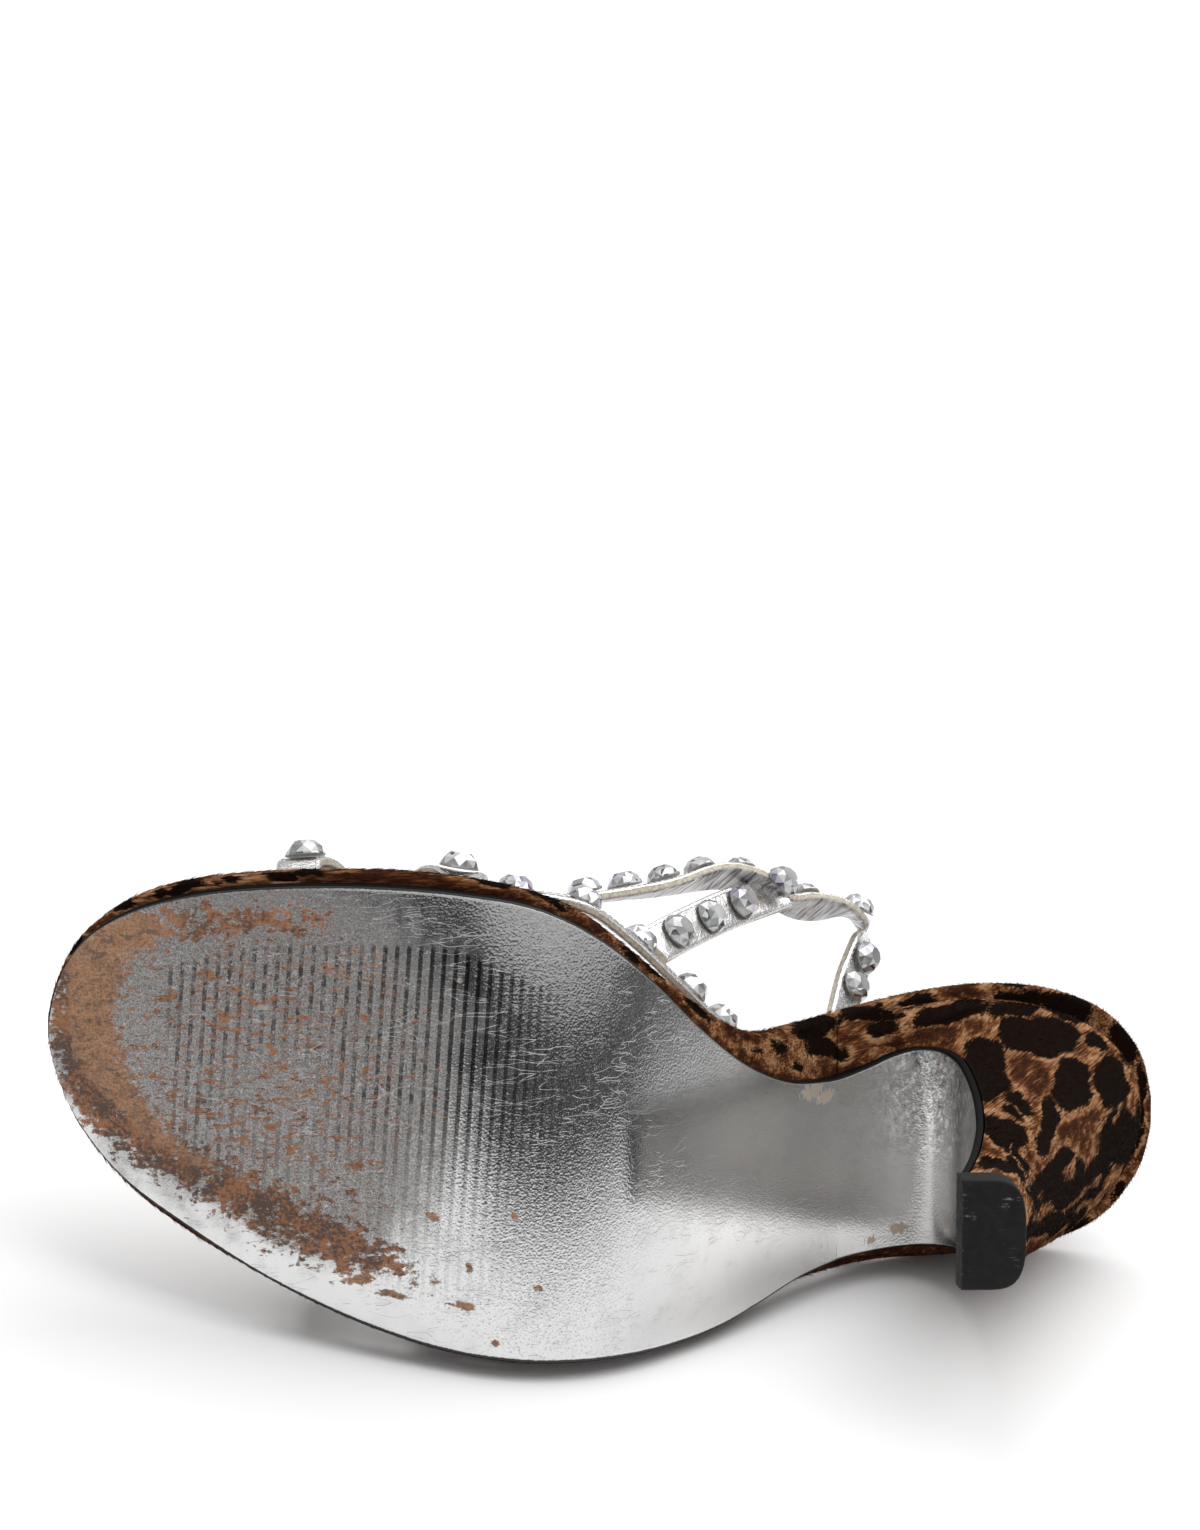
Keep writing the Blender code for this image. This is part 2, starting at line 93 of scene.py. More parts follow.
def oval(x, y, middleX, middleY, long, wide, turn=0):  # squared distance from the middle, 1 at the edge
    c, s = math.cos(math.radians(turn)), math.sin(math.radians(turn))
    dx, dy = x - middleX, y - middleY
    return ((c * dx + s * dy) / long) ** 2 + ((c * dy - s * dx) / wide) ** 2


def ease(low, high, value):
    t = np.clip((np.asarray(value, float) - low) / (high - low), 0.0, 1.0)
    return t * t * (3 - 2 * t)


# the last: underside of the footbed along the foot, x and z
lastProfile = smoothRows((
    (-4, 95.5), (0, 95.2), (10, 94.0), (20, 91.8), (30, 88.2), (40, 83.0), (50, 76.0), (60, 67.3),
    (70, 56.6), (80, 44.5), (90, 32.3), (100, 21.3), (108, 13.4), (115, 8.4), (122, 5.0), (130, 2.9),
    (138, 2.5), (146, 2.5), (154, 2.7), (169, 3.5), (184, 5.1), (194, 6.8), (204, 9.0), (210, 10.6)), 24)
gap = 0.3  # between the footbed and what is under it


def bed(x, y, rise):  # points that lie rise above the underside of the footbed
    x, y, rise = np.broadcast_arrays(np.asarray(x, float), y, rise)
    z = np.interp(x, lastProfile[:, 0], lastProfile[:, 1])
    fall = np.interp(x + 0.5, lastProfile[:, 0], lastProfile[:, 1])
    fall = fall - np.interp(x - 0.5, lastProfile[:, 0], lastProfile[:, 1])
    size = np.sqrt(fall ** 2 + 1)
    return np.stack([x - rise * fall / size, y, z + rise / size], -1)


# mesh helpers

def addAttribute(mesh, name, values):
    values = np.asarray(values, np.float32)
    kind = "FLOAT_VECTOR" if values.ndim == 2 else "FLOAT"
    attribute = mesh.attributes.new(name, kind, "POINT")
    attribute.data.foreach_set("vector" if values.ndim == 2 else "value", values.ravel())


def link(name, data):
    made = bpy.data.objects.new(name, data)
    bpy.context.scene.collection.objects.link(made)
    return made


def makePiece(name, points, faces, materials, faceMaterial=None, **attributes):
    mesh = bpy.data.meshes.new(name)
    mesh.from_pydata(lay(points).tolist(), [], [list(map(int, f)) for f in faces])
    addAttribute(mesh, "shoe", points)
    for key, values in attributes.items():
        addAttribute(mesh, key, values)
    for finish in materials:
        mesh.materials.append(finish)
    if faceMaterial is not None:
        mesh.polygons.foreach_set("material_index", np.asarray(faceMaterial, np.int32))
    mesh.shade_smooth()
    return link(name, mesh)


def ringFaces(rows, count, first=0):  # quads between closed rings, then a cap at each end
    faces = []
    for r in range(rows - 1):
        a = first + r * count
        for k in range(count):
            j = (k + 1) % count
            faces.append((a + k, a + j, a + count + j, a + count + k))
    last = first + (rows - 1) * count
    return faces + [tuple(range(first, first + count)), tuple(range(last, last + count))]


def makeTube(name, rings, finish, sharp):
    rings = np.array(rings)
    piece = makePiece(name, rings.reshape(-1, 3), ringFaces(*rings.shape[:2]), [finish])
    outward(piece, sharp)
    return piece


def outward(piece, sharp=50):
    bm = bmesh.new()
    bm.from_mesh(piece.data)
    bmesh.ops.recalc_face_normals(bm, faces=bm.faces)
    bm.to_mesh(piece.data)
    bm.free()
    piece.data.set_sharp_from_angle(angle=math.radians(sharp))


def settle(piece, *nodes, slot):
    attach(piece, "root")
    if nodes:
        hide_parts(*nodes)


# node helpers

class Nodes:  # what finishes and trees share
    def __init__(self, tree):
        self.tree = tree

    def feed(self, socket, value):
        if isinstance(value, bpy.types.NodeSocket):
            self.tree.links.new(value, socket)
        else:
            socket.default_value = (*value, 1.0) if socket.type == "RGBA" else value

    def node(self, kind, inputs=None, **settings):
        node = self.tree.nodes.new(kind)
        for key, value in settings.items():
            setattr(node, key, value)
        for key, value in (inputs or {}).items():
            self.feed(node.inputs[key], value)
        return node

    def maths(self, operation, a, b=0.0, c=0.0):
        return self.node("ShaderNodeMath", {0: a, 1: b, 2: c}, operation=operation).outputs[0]

    def times(self, a, b):
        return self.maths("MULTIPLY", a, b)

    def timesAdd(self, a, b, c):
        return self.maths("MULTIPLY_ADD", a, b, c)

    def plus(self, a, b):
        return self.maths("ADD", a, b)

    def less(self, a, b):
        return self.maths("SUBTRACT", a, b)

    def most(self, a, b):
        return self.maths("MAXIMUM", a, b)

    def vector(self, operation, a, b=None):
        node = self.node("ShaderNodeVectorMath", {0: a}, operation=operation)
        if b is not None:
            self.feed(node.inputs["Scale" if operation == "SCALE" else 1], b)
        return node.outputs["Value" if operation == "DOT_PRODUCT" else "Vector"]

    def step(self, value, low, high, outLow=0.0, outHigh=1.0):
        inputs = {"Value": value, "From Min": low, "From Max": high, "To Min": outLow, "To Max": outHigh}
        return self.node("ShaderNodeMapRange", inputs, interpolation_type="SMOOTHSTEP").outputs["Result"]


class Shade(Nodes):  # a finish, or the world
    def __init__(self, name, holders=bpy.data.materials):
        self.holder = holders.new(name)
        self.holder.use_nodes = True
        super().__init__(self.holder.node_tree)
        self.surface = self.tree.nodes.get("Principled BSDF") or self.tree.nodes["Background"]

    def put(self, **sockets):  # Base_Color=... sets the shader's Base Color
        for key, value in sockets.items():
            self.feed(self.surface.inputs[key.replace("_", " ")], value)

    def attribute(self, name, out="Fac"):
        return self.node("ShaderNodeAttribute", attribute_name=name).outputs[out]

    def place(self, out="Object"):
        return self.node("ShaderNodeTexCoord").outputs[out]

    def part(self, vector, axis):
        return self.node("ShaderNodeSeparateXYZ", {0: vector}).outputs[axis]

    def mapped(self, vector, scale, turn=0):  # turn about z, in degrees
        turns = (0, 0, math.radians(turn))
        return self.node("ShaderNodeMapping", {"Vector": vector, "Scale": scale, "Rotation": turns}).outputs["Vector"]

    def noise(self, vector, scale, detail=3.0, rough=0.55, twist=0.0, out="Fac"):
        inputs = {"Vector": vector, "Scale": scale, "Detail": detail, "Roughness": rough, "Distortion": twist}
        return self.node("ShaderNodeTexNoise", inputs).outputs[out]

    def cells(self, vector, scale, feature="F1", loose=1.0):
        inputs = {"Vector": vector, "Scale": scale, "Randomness": loose}
        return self.node("ShaderNodeTexVoronoi", inputs, feature=feature).outputs["Distance"]

    def blend(self, share, a, b, how="MIX"):
        inputs = {"Factor": share, 6: a, 7: b}
        return self.node("ShaderNodeMix", inputs, data_type="RGBA", blend_type=how).outputs[2]

    def layers(self, tones, first, *coats):  # named tones over one another, each with where it shows
        colour = tones[first]
        for where, tone in coats:
            colour = self.blend(where, colour, tones[tone])
        return colour

    def ramp(self, value, *stops):
        node = self.node("ShaderNodeValToRGB", {"Fac": value})
        elements = node.color_ramp.elements
        while len(elements) < len(stops):
            elements.new(1.0)
        for element, (place, colour) in zip(elements, stops):
            element.position = place
            element.color = (*colour, 1.0)
        return node.outputs["Color"]

    def bump(self, height, strength, reach):  # reach in metres
        inputs = {"Strength": strength, "Distance": reach, "Height": height}
        return self.node("ShaderNodeBump", inputs).outputs["Normal"]


class Tree(Nodes):  # a Geometry Nodes tree with named inputs, numbers first
    def __init__(self, name, numbers="", **others):
        super().__init__(bpy.data.node_groups.new(name, "GeometryNodeTree"))
        face = self.tree.interface
        face.new_socket("Geometry", in_out="INPUT", socket_type="NodeSocketGeometry")
        self.ids = {}
        for key, kind in [(key, "Float") for key in numbers.split()] + list(others.items()):
            self.ids[key] = face.new_socket(key, in_out="INPUT", socket_type="NodeSocket" + kind).identifier
        face.new_socket("Geometry", in_out="OUTPUT", socket_type="NodeSocketGeometry")
        self.entry = self.tree.nodes.new("NodeGroupInput")
        self.exit = self.tree.nodes.new("NodeGroupOutput")

    def given(self, key):
        return self.entry.outputs[key]

    def named(self, name, kind="FLOAT"):
        return self.node("GeometryNodeInputNamedAttribute", {"Name": name}, data_type=kind).outputs["Attribute"]

    def random(self, low, high):  # numbers, or vectors
        kind, first, out = ("FLOAT_VECTOR", 0, 0) if isinstance(low, tuple) else ("FLOAT", 2, 1)
        node = self.node("FunctionNodeRandomValue", {"Seed": self.given("Seed")}, data_type=kind)
        node.inputs[first].default_value, node.inputs[first + 1].default_value = low, high
        return node.outputs[out]

    def aimed(self, way):
        return self.node("FunctionNodeAlignRotationToVector", {"Vector": way}, axis="Z").outputs[0]

    def instances(self, points, shape, turn, **more):
        inputs = {"Points": points, "Instance": shape, "Rotation": turn, **more}
        return self.node("GeometryNodeInstanceOnPoints", inputs).outputs[0]

    def close(self, geometry, *finishes):  # each finish has a field that picks its faces
        last = self.node("GeometryNodeRealizeInstances", {"Geometry": geometry}).outputs[0]
        for finish, chosen in finishes:
            inputs = {"Geometry": last, "Selection": chosen, "Material": finish}
            last = self.node("GeometryNodeSetMaterial", inputs).outputs[0]
        self.feed(self.exit.inputs[0], last)

    def apply(self, piece, **values):  # runs the tree and leaves a plain mesh
        modifier = piece.modifiers.new(self.tree.name, "NODES")
        modifier.node_group = self.tree
        for key, value in values.items():
            modifier[self.ids[key]] = value
        bpy.context.view_layer.update()
        graph = bpy.context.evaluated_depsgraph_get()
        made = bpy.data.meshes.new_from_object(
            piece.evaluated_get(graph), preserve_all_data_layers=True, depsgraph=graph)
        piece.modifiers.remove(modifier)
        old = piece.data
        piece.data = made
        bpy.data.meshes.remove(old)
        made.name = piece.name
        return piece


# finishes

silverSole = {
    # the waist tone is a painted reflection, the shaded and breast tones are painted shade, and the neck tone is a
    # little darker
    "silver": (0.69, 0.69, 0.69), "waist": (0.97, 0.96, 0.95), "neck": (0.66, 0.65, 0.64),
    "shaded": (0.58, 0.57, 0.56), "breast": (0.55, 0.54, 0.53), "cloud": (0.42, 0.41, 0.40),
    "scuffed": (0.33, 0.315, 0.305), "tooth": (0.13, 0.112, 0.10), "speck": (0.16, 0.13, 0.115),
    # the glint tone is a painted highlight, and the dark speck tone after it painted shade, for the sparkle of the
    # tread's grain
    "groove": (0.045, 0.042, 0.04), "glint": (0.95, 0.95, 0.97), "darkSparkle": (0.16, 0.155, 0.15),
    # the fold and crease tones are a painted highlight on the wrinkles and painted shade in their creases
    "foldHighlight": (0.97, 0.97, 0.97), "creaseShade": (0.22, 0.215, 0.21), "scratch": (0.80, 0.80, 0.81),
    "tan": (0.40, 0.22, 0.120), "rust": (0.32, 0.135, 0.060), "brown": (0.21, 0.125, 0.080),
    "bruise": (0.12, 0.075, 0.052), "pepper": (0.09, 0.060, 0.045), "fibre": (0.46, 0.29, 0.18),
    "grime": (0.085, 0.050, 0.036), "glue": (0.28, 0.165, 0.022), "ink": (0.018, 0.017, 0.016),
    # where along the foot each part of the sole ends, and where the painted reflection, shade and highlight of the
    # silver change
    "waistAt": (80.0, 106.0), "neckAt": (66.0, 84.0), "shadedAt": (82.0, 104.0), "breastAt": (50.0, 66.0),
    "treadAt": (96.0, 118.0), "foldAt": (47.0, 64.0), "dullAt": (88.0, 116.0),
    "shadedSide": (-16.0, -2.0), "foldSide": (-8.0, 14.0), "marginSlope": 0.62, "marginAt": (-105.0, -98.0),
    "grainPerMm": 2.6, "roughness": 0.12,
    "scratches": ((18, 0.10), (-40, 0.12), (75, 0.09), (-8, 0.14)),  # turn, scale
}


def soleFinish():
    s = Shade("silver_sole_leather")
    place = s.attribute("shoe", "Vector")
    x, y = s.part(place, "X"), s.part(place, "Y")
    tanMask, pitMask, mottle = s.attribute("tanWear"), s.attribute("pitWear"), s.attribute("mottleWear")
    glue, ink = s.attribute("glueStain"), s.attribute("rimInk")
    across = s.maths("ABSOLUTE", s.less(s.maths("FRACT", s.attribute("ribRun")), 0.5))
    grooves = s.times(s.step(across, 0.15, 0.22, 1.0, 0.0), s.step(s.attribute("ribShare"), 0.1, 0.6))
    broad = s.noise(place, 0.16, 5, 0.62)
    middle = s.noise(place, 0.45, 6, 0.68)
    fine = s.noise(place, 1.6, 5, 0.7)
    dragged = s.noise(s.mapped(place, (0.60, 1.25, 1.0), -14), 0.8, 5, 0.7)
    # where the silver is rubbed through to the leather
    ragged = s.timesAdd(s.less(fine, 0.5), 0.7, s.less(middle, 0.5))
    bare = s.step(s.timesAdd(ragged, 1.5, tanMask), 0.46, 0.60)
    blotch = s.timesAdd(middle, 0.55, s.times(dragged, 0.45))
    blotch = s.step(s.timesAdd(mottle, 0.26, blotch), 0.655, 0.715)
    blotch = s.times(blotch, s.step(mottle, 0.05, 0.3))
    nicked = s.noise(s.mapped(place, (0.6, 1.3, 1.0), 16), 0.50, 5, 0.72, 0.6)
    flecks = s.step(s.timesAdd(pitMask, 0.10, dragged), 0.678, 0.712)
    flecks = s.most(flecks, s.step(s.timesAdd(pitMask, 0.09, nicked), 0.666, 0.700))
    flecks = s.times(flecks, s.step(pitMask, 0.05, 0.4))
    patchy = s.most(blotch, flecks)
    scuffed = s.step(s.timesAdd(s.less(broad, 0.5), 0.8, pitMask), 0.10, 0.75)
    peppered = s.noise(place, 2.7, 4, 0.75)
    grimy = s.timesAdd(dragged, 0.6, s.times(broad, 0.5))
    leather = s.layers(
        silverSole, "tan", (s.step(fine, 0.46, 0.60, 0.0, 0.80), "rust"),
        (s.step(middle, 0.50, 0.60, 0.0, 0.55), "brown"), (s.step(nicked, 0.52, 0.62, 0.0, 0.80), "bruise"),
        (s.step(peppered, 0.51, 0.60, 0.0, 0.70), "pepper"), (s.step(peppered, 0.32, 0.42, 0.7, 0.0), "fibre"),
        (s.step(grimy, 0.60, 0.72, 0.0, 0.7), "grime"))
    soiled = s.timesAdd(mottle, 0.06, s.timesAdd(fine, 0.6, s.times(broad, 0.45)))
    rubbed = s.layers(silverSole, "rust", (s.step(soiled, 0.50, 0.62), "grime"))
    # the silver: painted reflection and shade along the foot (the waist painted bright as a reflection, the outer
    # side and the breast painted darker as shade, the neck a little darker), then the marks on it, some of them
    # painted highlight and shade
    shaded = s.times(s.step(x, *silverSole["shadedAt"], 0.85, 0.0), s.step(y, *silverSole["shadedSide"], 1.0, 0.0))
    tooth = s.noise(place, 3.6, 3, 0.7)
    toothed = s.times(s.step(tooth, 0.42, 0.62), s.times(scuffed, 0.85))
    specks = s.times(s.step(fine, 0.58, 0.70), s.step(pitMask, 0.1, 0.8, 0.0, 0.55))
    filled = s.step(s.timesAdd(fine, 0.45, s.times(middle, 0.6)), 0.48, 0.58)
    filled = s.timesAdd(filled, s.step(pitMask, 0.35, 0.9, 0.0, -0.85), 1.0)  # abrasion breaks the grooves up
    dirty = s.times(s.times(grooves, filled), s.attribute("grooveDirt"))
    sparkle = s.noise(place, 2.2, 2, 0.6)  # the broken grain of the tread, painted as sparkle: bright glints as painted highlight and dark specks as painted shade
    inside = s.timesAdd(x, -silverSole["marginSlope"], y)  # a clean margin runs along the outer edge
    onTread = s.times(s.step(x, *silverSole["treadAt"], 0.0, 0.42), s.step(inside, *silverSole["marginAt"]))
    turnDown = s.times(s.step(x, *silverSole["foldAt"], 1.0, 0.0), s.step(y, *silverSole["foldSide"]))
    pucker = s.noise(s.mapped(place, (1.0, 0.7, 1.0)), 0.9, 5, 0.7, 0.5)  # wrinkles where the leather turns down the heel: a bump, with painted highlight on the folds and painted shade in the creases
    streak = s.noise(s.mapped(place, (1.4, 0.45, 1.0), 25), 0.8, 4, 0.65)
    stained = s.step(s.timesAdd(s.less(streak, 0.5), 1.8, glue), 0.42, 0.82, 0.0, 0.6)
    silver = s.layers(
        silverSole, "silver", (s.step(x, *silverSole["waistAt"], 1.0, 0.0), "waist"),
        (s.step(x, *silverSole["neckAt"], 0.45, 0.0), "neck"), (shaded, "shaded"),
        (s.step(x, *silverSole["breastAt"], 1.0, 0.0), "breast"), (s.step(broad, 0.45, 0.75, 0.0, 0.22), "cloud"),
        (s.times(scuffed, 0.8), "scuffed"), (toothed, "tooth"), (specks, "speck"), (dirty, "groove"),
        # painted highlight and painted shade: bright glints and dark specks over the tread
        (s.times(s.step(sparkle, 0.61, 0.71), onTread), "glint"),
        (s.times(s.step(sparkle, 0.34, 0.44, 1.0, 0.0), onTread), "darkSparkle"),
        # painted highlight on the folds and painted shade in the creases of the turned-down leather
        (s.times(s.step(pucker, 0.52, 0.62), turnDown), "foldHighlight"),
        (s.times(s.step(pucker, 0.36, 0.48, 0.7, 0.0), turnDown), "creaseShade"), (stained, "glue"))
    # hair-fine scratches, the level lines of stretched noise
    lines = None
    for angle, scale in silverSole["scratches"]:
        level = s.noise(s.mapped(place, (0.5, 2.0, 1.0), angle), scale, 2, 0.5)
        line = s.step(s.maths("ABSOLUTE", s.less(level, 0.5)), 0.0, 0.0045, 1.0, 0.0)
        lines = line if lines is None else s.most(lines, line)
    chips = s.step(s.noise(s.mapped(place, (1.0, 0.4, 1.0)), 1.1, 3, 0.6), 0.72, 0.76)
    lines = s.times(lines, s.times(s.step(broad, 0.42, 0.62), s.step(mottle, 0.15, 0.5, 1.0, 0.1)))
    marks = s.most(s.times(lines, 0.75), s.times(chips, pitMask))
    worn = s.most(bare, patchy)
    colour = s.blend(patchy, silver, rubbed)
    colour = s.blend(bare, colour, leather)
    colour = s.blend(s.times(marks, 0.6), colour, silverSole["scratch"])
    inked = s.step(s.timesAdd(s.less(fine, 0.5), 0.5, ink), 0.45, 0.6)
    colour = s.blend(inked, colour, silverSole["ink"])
    worn = s.most(worn, inked)
    grain = s.cells(place, silverSole["grainPerMm"], "SMOOTH_F1")
    fibres = s.noise(s.mapped(place, (0.5, 1.6, 1.0), 35), 2.0, 3, 0.6, 1.2)
    height = s.timesAdd(grain, 0.65, s.times(fibres, 0.16))
    height = s.timesAdd(s.times(pucker, 3.6), turnDown, height)
    height = s.timesAdd(tooth, s.step(pitMask, 0.1, 0.8, 0.0, 0.5), height)
    height = s.less(height, s.timesAdd(worn, 0.7, s.times(marks, 0.4)))
    rough = s.timesAdd(scuffed, 0.20, silverSole["roughness"])
    rough = s.plus(s.step(x, *silverSole["dullAt"], 0.12, 0.0), rough)
    rough = s.timesAdd(turnDown, -0.12, rough)
    rough = s.timesAdd(worn, 0.35, rough)
    rough = s.timesAdd(s.less(fine, 0.5), 0.12, rough)
    metal = s.less(1.0, s.most(s.most(worn, stained), s.times(scuffed, 0.55)))
    s.put(Base_Color=colour, Metallic=metal, Roughness=rough, Normal=s.bump(height, 0.30, 0.00013))
    return s.holder


edgeInk = {"black": (0.004, 0.004, 0.004), "rubbed": (0.16, 0.085, 0.05)}


def edgeFinish():
    s = Shade("black_edge_ink")
    place = s.attribute("shoe", "Vector")
    worn = s.step(s.noise(place, 0.35, 5, 0.7), 0.62, 0.72)
    colour = s.blend(s.times(worn, s.attribute("tanWear")), edgeInk["black"], edgeInk["rubbed"])
    fine = s.noise(place, 2.2, 3)
    s.put(Base_Color=colour, Roughness=s.step(fine, 0.3, 0.8, 0.3, 0.5), Normal=s.bump(fine, 0.25, 0.00012))
    s.put(Specular_IOR_Level=0.03)
    return s.holder


calfHair = {
    "dark": (0.009, 0.0043, 0.0027), "deep": (0.045, 0.016, 0.008), "brown": (0.135, 0.048, 0.018),
    "tan": (0.37, 0.185, 0.088), "pale": (0.50, 0.30, 0.17), "spotMm": 11.0, "spotReach": 4.9, "sway": 11.0,
    "length": 1.4, "thick": 0.085, "perMm": 3.0, "sizes": (0.6, 1.15), "lift": 0.16, "stray": 0.20, "seed": 11,
    "offFloor": (0.0015, 0.003),  # no hairs below the first height, in metres
    # hairs fall down the heel up to the first x, and trail back along the rim from the second on
    "fall": (0.5, -0.15, -0.85), "trail": (-1.0, 0.0, 0.0), "turnAt": (56.0, 78.0), "parting": (67.0, 22.0, 58.0),
}


def hairFinish():
    s = Shade("spotted_calf_hair")
    place = s.attribute("shoe", "Vector")
    run = s.attribute("hairRun", "Vector")  # along the hair, and across it both ways
    strands = s.noise(s.mapped(run, (0.22, 2.6, 2.6)), 1.0, 4, 0.62)
    tufts = s.noise(s.mapped(run, (0.35, 1.3, 1.3)), 0.36, 4, 0.6)
    sway = s.vector("SUBTRACT", s.noise(place, 0.07, 3, 0.5, out="Color"), (0.5, 0.5, 0.5))
    swept = s.vector("ADD", place, s.vector("SCALE", sway, calfHair["sway"]))
    centre = s.cells(swept, 1.0 / calfHair["spotMm"], "F1", loose=0.9)
    loose = s.timesAdd(centre, -calfHair["spotMm"], calfHair["spotReach"])  # patches where none are laid out
    known = s.attribute("spotKnown")
    field = s.plus(s.times(s.attribute("spotField"), known), s.times(loose, s.less(1.0, known)))
    ragged = s.timesAdd(s.less(strands, 0.5), 1.7, s.less(tufts, 0.5))
    field = s.plus(field, ragged)
    dark = s.step(field, -0.30, 0.25)
    border = s.step(field, -1.9, -0.5)
    mixed = s.timesAdd(border, 0.34, s.times(s.less(tufts, 0.42), 1.6))
    mixed = s.timesAdd(s.less(strands, 0.5), -1.7, mixed)
    ground = s.ramp(mixed, (0.05, calfHair["deep"]), (0.34, calfHair["brown"]), (0.60, calfHair["tan"]),
                    (0.90, calfHair["pale"]))
    colour = s.blend(dark, ground, calfHair["dark"])
    s.put(Base_Color=colour, Roughness=0.85, Specular_IOR_Level=0.03, Normal=s.bump(strands, 0.6, 0.0006))
    return s.holder


rubber = {"black": (0.004, 0.004, 0.004), "worn": (0.013, 0.013, 0.013), "scrape": (0.20, 0.21, 0.21)}


def tipFinish():
    s = Shade("scuffed_black_rubber")
    place = s.attribute("shoe", "Vector")
    cloudy = s.noise(place, 0.5, 5, 0.65)
    scrape = s.noise(s.mapped(place, (0.35, 2.4, 1), -8), 0.7, 5, 0.7)
    patch = s.step(s.noise(place, 0.16, 2, 0.5), 0.50, 0.62)
    pale = s.times(s.step(scrape, 0.54, 0.66), s.times(s.step(cloudy, 0.42, 0.56), patch))
    colour = s.blend(s.step(cloudy, 0.3, 0.75), rubber["black"], rubber["worn"])
    colour = s.blend(s.times(pale, 0.8), colour, rubber["scrape"])
    height = s.plus(s.times(scrape, 0.7), s.times(s.noise(place, 2.5, 3), 0.4))
    s.put(Base_Color=colour, Roughness=s.step(cloudy, 0.3, 0.7, 0.5, 0.7), Normal=s.bump(height, 0.5, 0.0003))
    s.put(Specular_IOR_Level=0.2)
    return s.holder


strapSilver = {"bright": (0.88, 0.87, 0.87), "tarnish": (0.52, 0.50, 0.48)}


def strapFinish():
    s = Shade("silver_strap_leather")
    place = s.attribute("shoe", "Vector")
    creases = s.noise(place, 0.55, 4, 0.6, 0.8)
    fine = s.noise(place, 2.4, 3, 0.6)
    tarnish = s.step(s.noise(place, 0.3, 4, 0.6), 0.45, 0.75)
    colour = s.blend(s.times(tarnish, 0.45), strapSilver["bright"], strapSilver["tarnish"])
    height = s.plus(creases, s.times(fine, 0.35))
    s.put(Base_Color=colour, Metallic=1.0, Roughness=s.step(fine, 0.3, 0.8, 0.16, 0.34))
    s.put(Normal=s.bump(height, 0.4, 0.0006))
    return s.holder


# the lining's tones follow its pleats: deep is painted shade in the hollows, pale a painted highlight on the ridges
lining = {"deep": (0.14, 0.135, 0.135), "middle": (0.50, 0.49, 0.49), "pale": (0.80, 0.79, 0.79)}


def liningFinish():
    s = Shade("pleated_silver_lining")
    place = s.attribute("run", "Vector")  # along the strap and across it
    pleats = s.noise(s.mapped(place, (1.0, 0.16, 1)), 0.8, 3, 0.6, 0.4)
    fine = s.noise(place, 2.0, 3)
    # painted shade in the pleat hollows and painted highlight on the ridges, from the same noise as the bump
    colour = s.ramp(pleats, (0.36, lining["deep"]), (0.48, lining["middle"]), (0.62, lining["pale"]))
    s.put(Base_Color=colour, Metallic=0.75, Roughness=0.36)
    s.put(Normal=s.bump(s.plus(pleats, s.times(fine, 0.15)), 0.7, 0.0012))
    return s.holder


cutEdge = {"tan": (0.42, 0.36, 0.27), "cream": (0.72, 0.66, 0.55)}


def cutEdgeFinish():
    s = Shade("cream_cut_edge")
    place = s.attribute("shoe", "Vector")
    fibres = s.noise(place, 1.4, 4, 0.65)
    colour = s.blend(s.step(fibres, 0.3, 0.7), cutEdge["tan"], cutEdge["cream"])
    s.put(Base_Color=colour, Roughness=0.6, Normal=s.bump(fibres, 0.4, 0.0003))
    return s.holder


thread = {"dark": (0.30, 0.29, 0.28), "pale": (0.62, 0.61, 0.60)}


def threadFinish():
    s = Shade("grey_thread")
    spot = s.noise(s.place(), 900.0, 3)
    s.put(Base_Color=s.blend(spot, thread["dark"], thread["pale"]), Roughness=0.55)
    return s.holder


# painted reflection of cut glass: facets painted from near black to near white, and tinted violet and peach as
# painted fire
crystal = {
    "facetReflections": ((0.0, (0.045, 0.047, 0.05)), (0.14, (0.26, 0.27, 0.27)), (0.45, (0.46, 0.47, 0.46)),
               (0.78, (0.66, 0.67, 0.66)), (1.0, (0.92, 0.92, 0.94))),
    "fireTints": ((0.40, (1.0, 1.0, 1.0)), (0.57, (0.99, 0.98, 1.0)), (0.64, (0.82, 0.74, 1.0)),
              (0.72, (1.0, 0.86, 0.78))),
    "glue": (0.40, 0.38, 0.34),
}


def stoneFinish():
    s = Shade("foiled_crystal")
    # painted reflection: each facet gets a dark to bright tone and a coloured tint
    facet = s.attribute("facet")
    where = s.place()
    each = s.noise(where, 170.0, 1, 0.5)
    mixed = s.maths("FRACT", s.plus(facet, s.times(each, 1.7)))
    colour = s.ramp(mixed, *crystal["facetReflections"])
    tint = s.ramp(s.noise(where, 95.0, 1, 0.5), *crystal["fireTints"])
    s.put(Base_Color=s.blend(1.0, colour, tint, "MULTIPLY"), Metallic=0.45, Roughness=0.06, IOR=1.55)
    s.put(Coat_Weight=1.0, Coat_Roughness=0.02)
    return s.holder


def glueFinish():
    s = Shade("stone_glue")
    shade = tuple(0.6 * c for c in crystal["glue"])
    cloudy = s.times(s.noise(s.place(), 1400.0, 3), 0.4)
    s.put(Base_Color=s.blend(cloudy, crystal["glue"], shade), Roughness=0.4)
    return s.holder


finishSole = soleFinish()
finishEdge = edgeFinish()
finishHair = hairFinish()
finishTip = tipFinish()
finishStrap = strapFinish()
finishLining = liningFinish()
finishCut = cutEdgeFinish()
finishThread = threadFinish()
finishStone = stoneFinish()
finishGlue = glueFinish()
print("finishes made")


# dark patches of the hide, laid out as seen from under the shoe

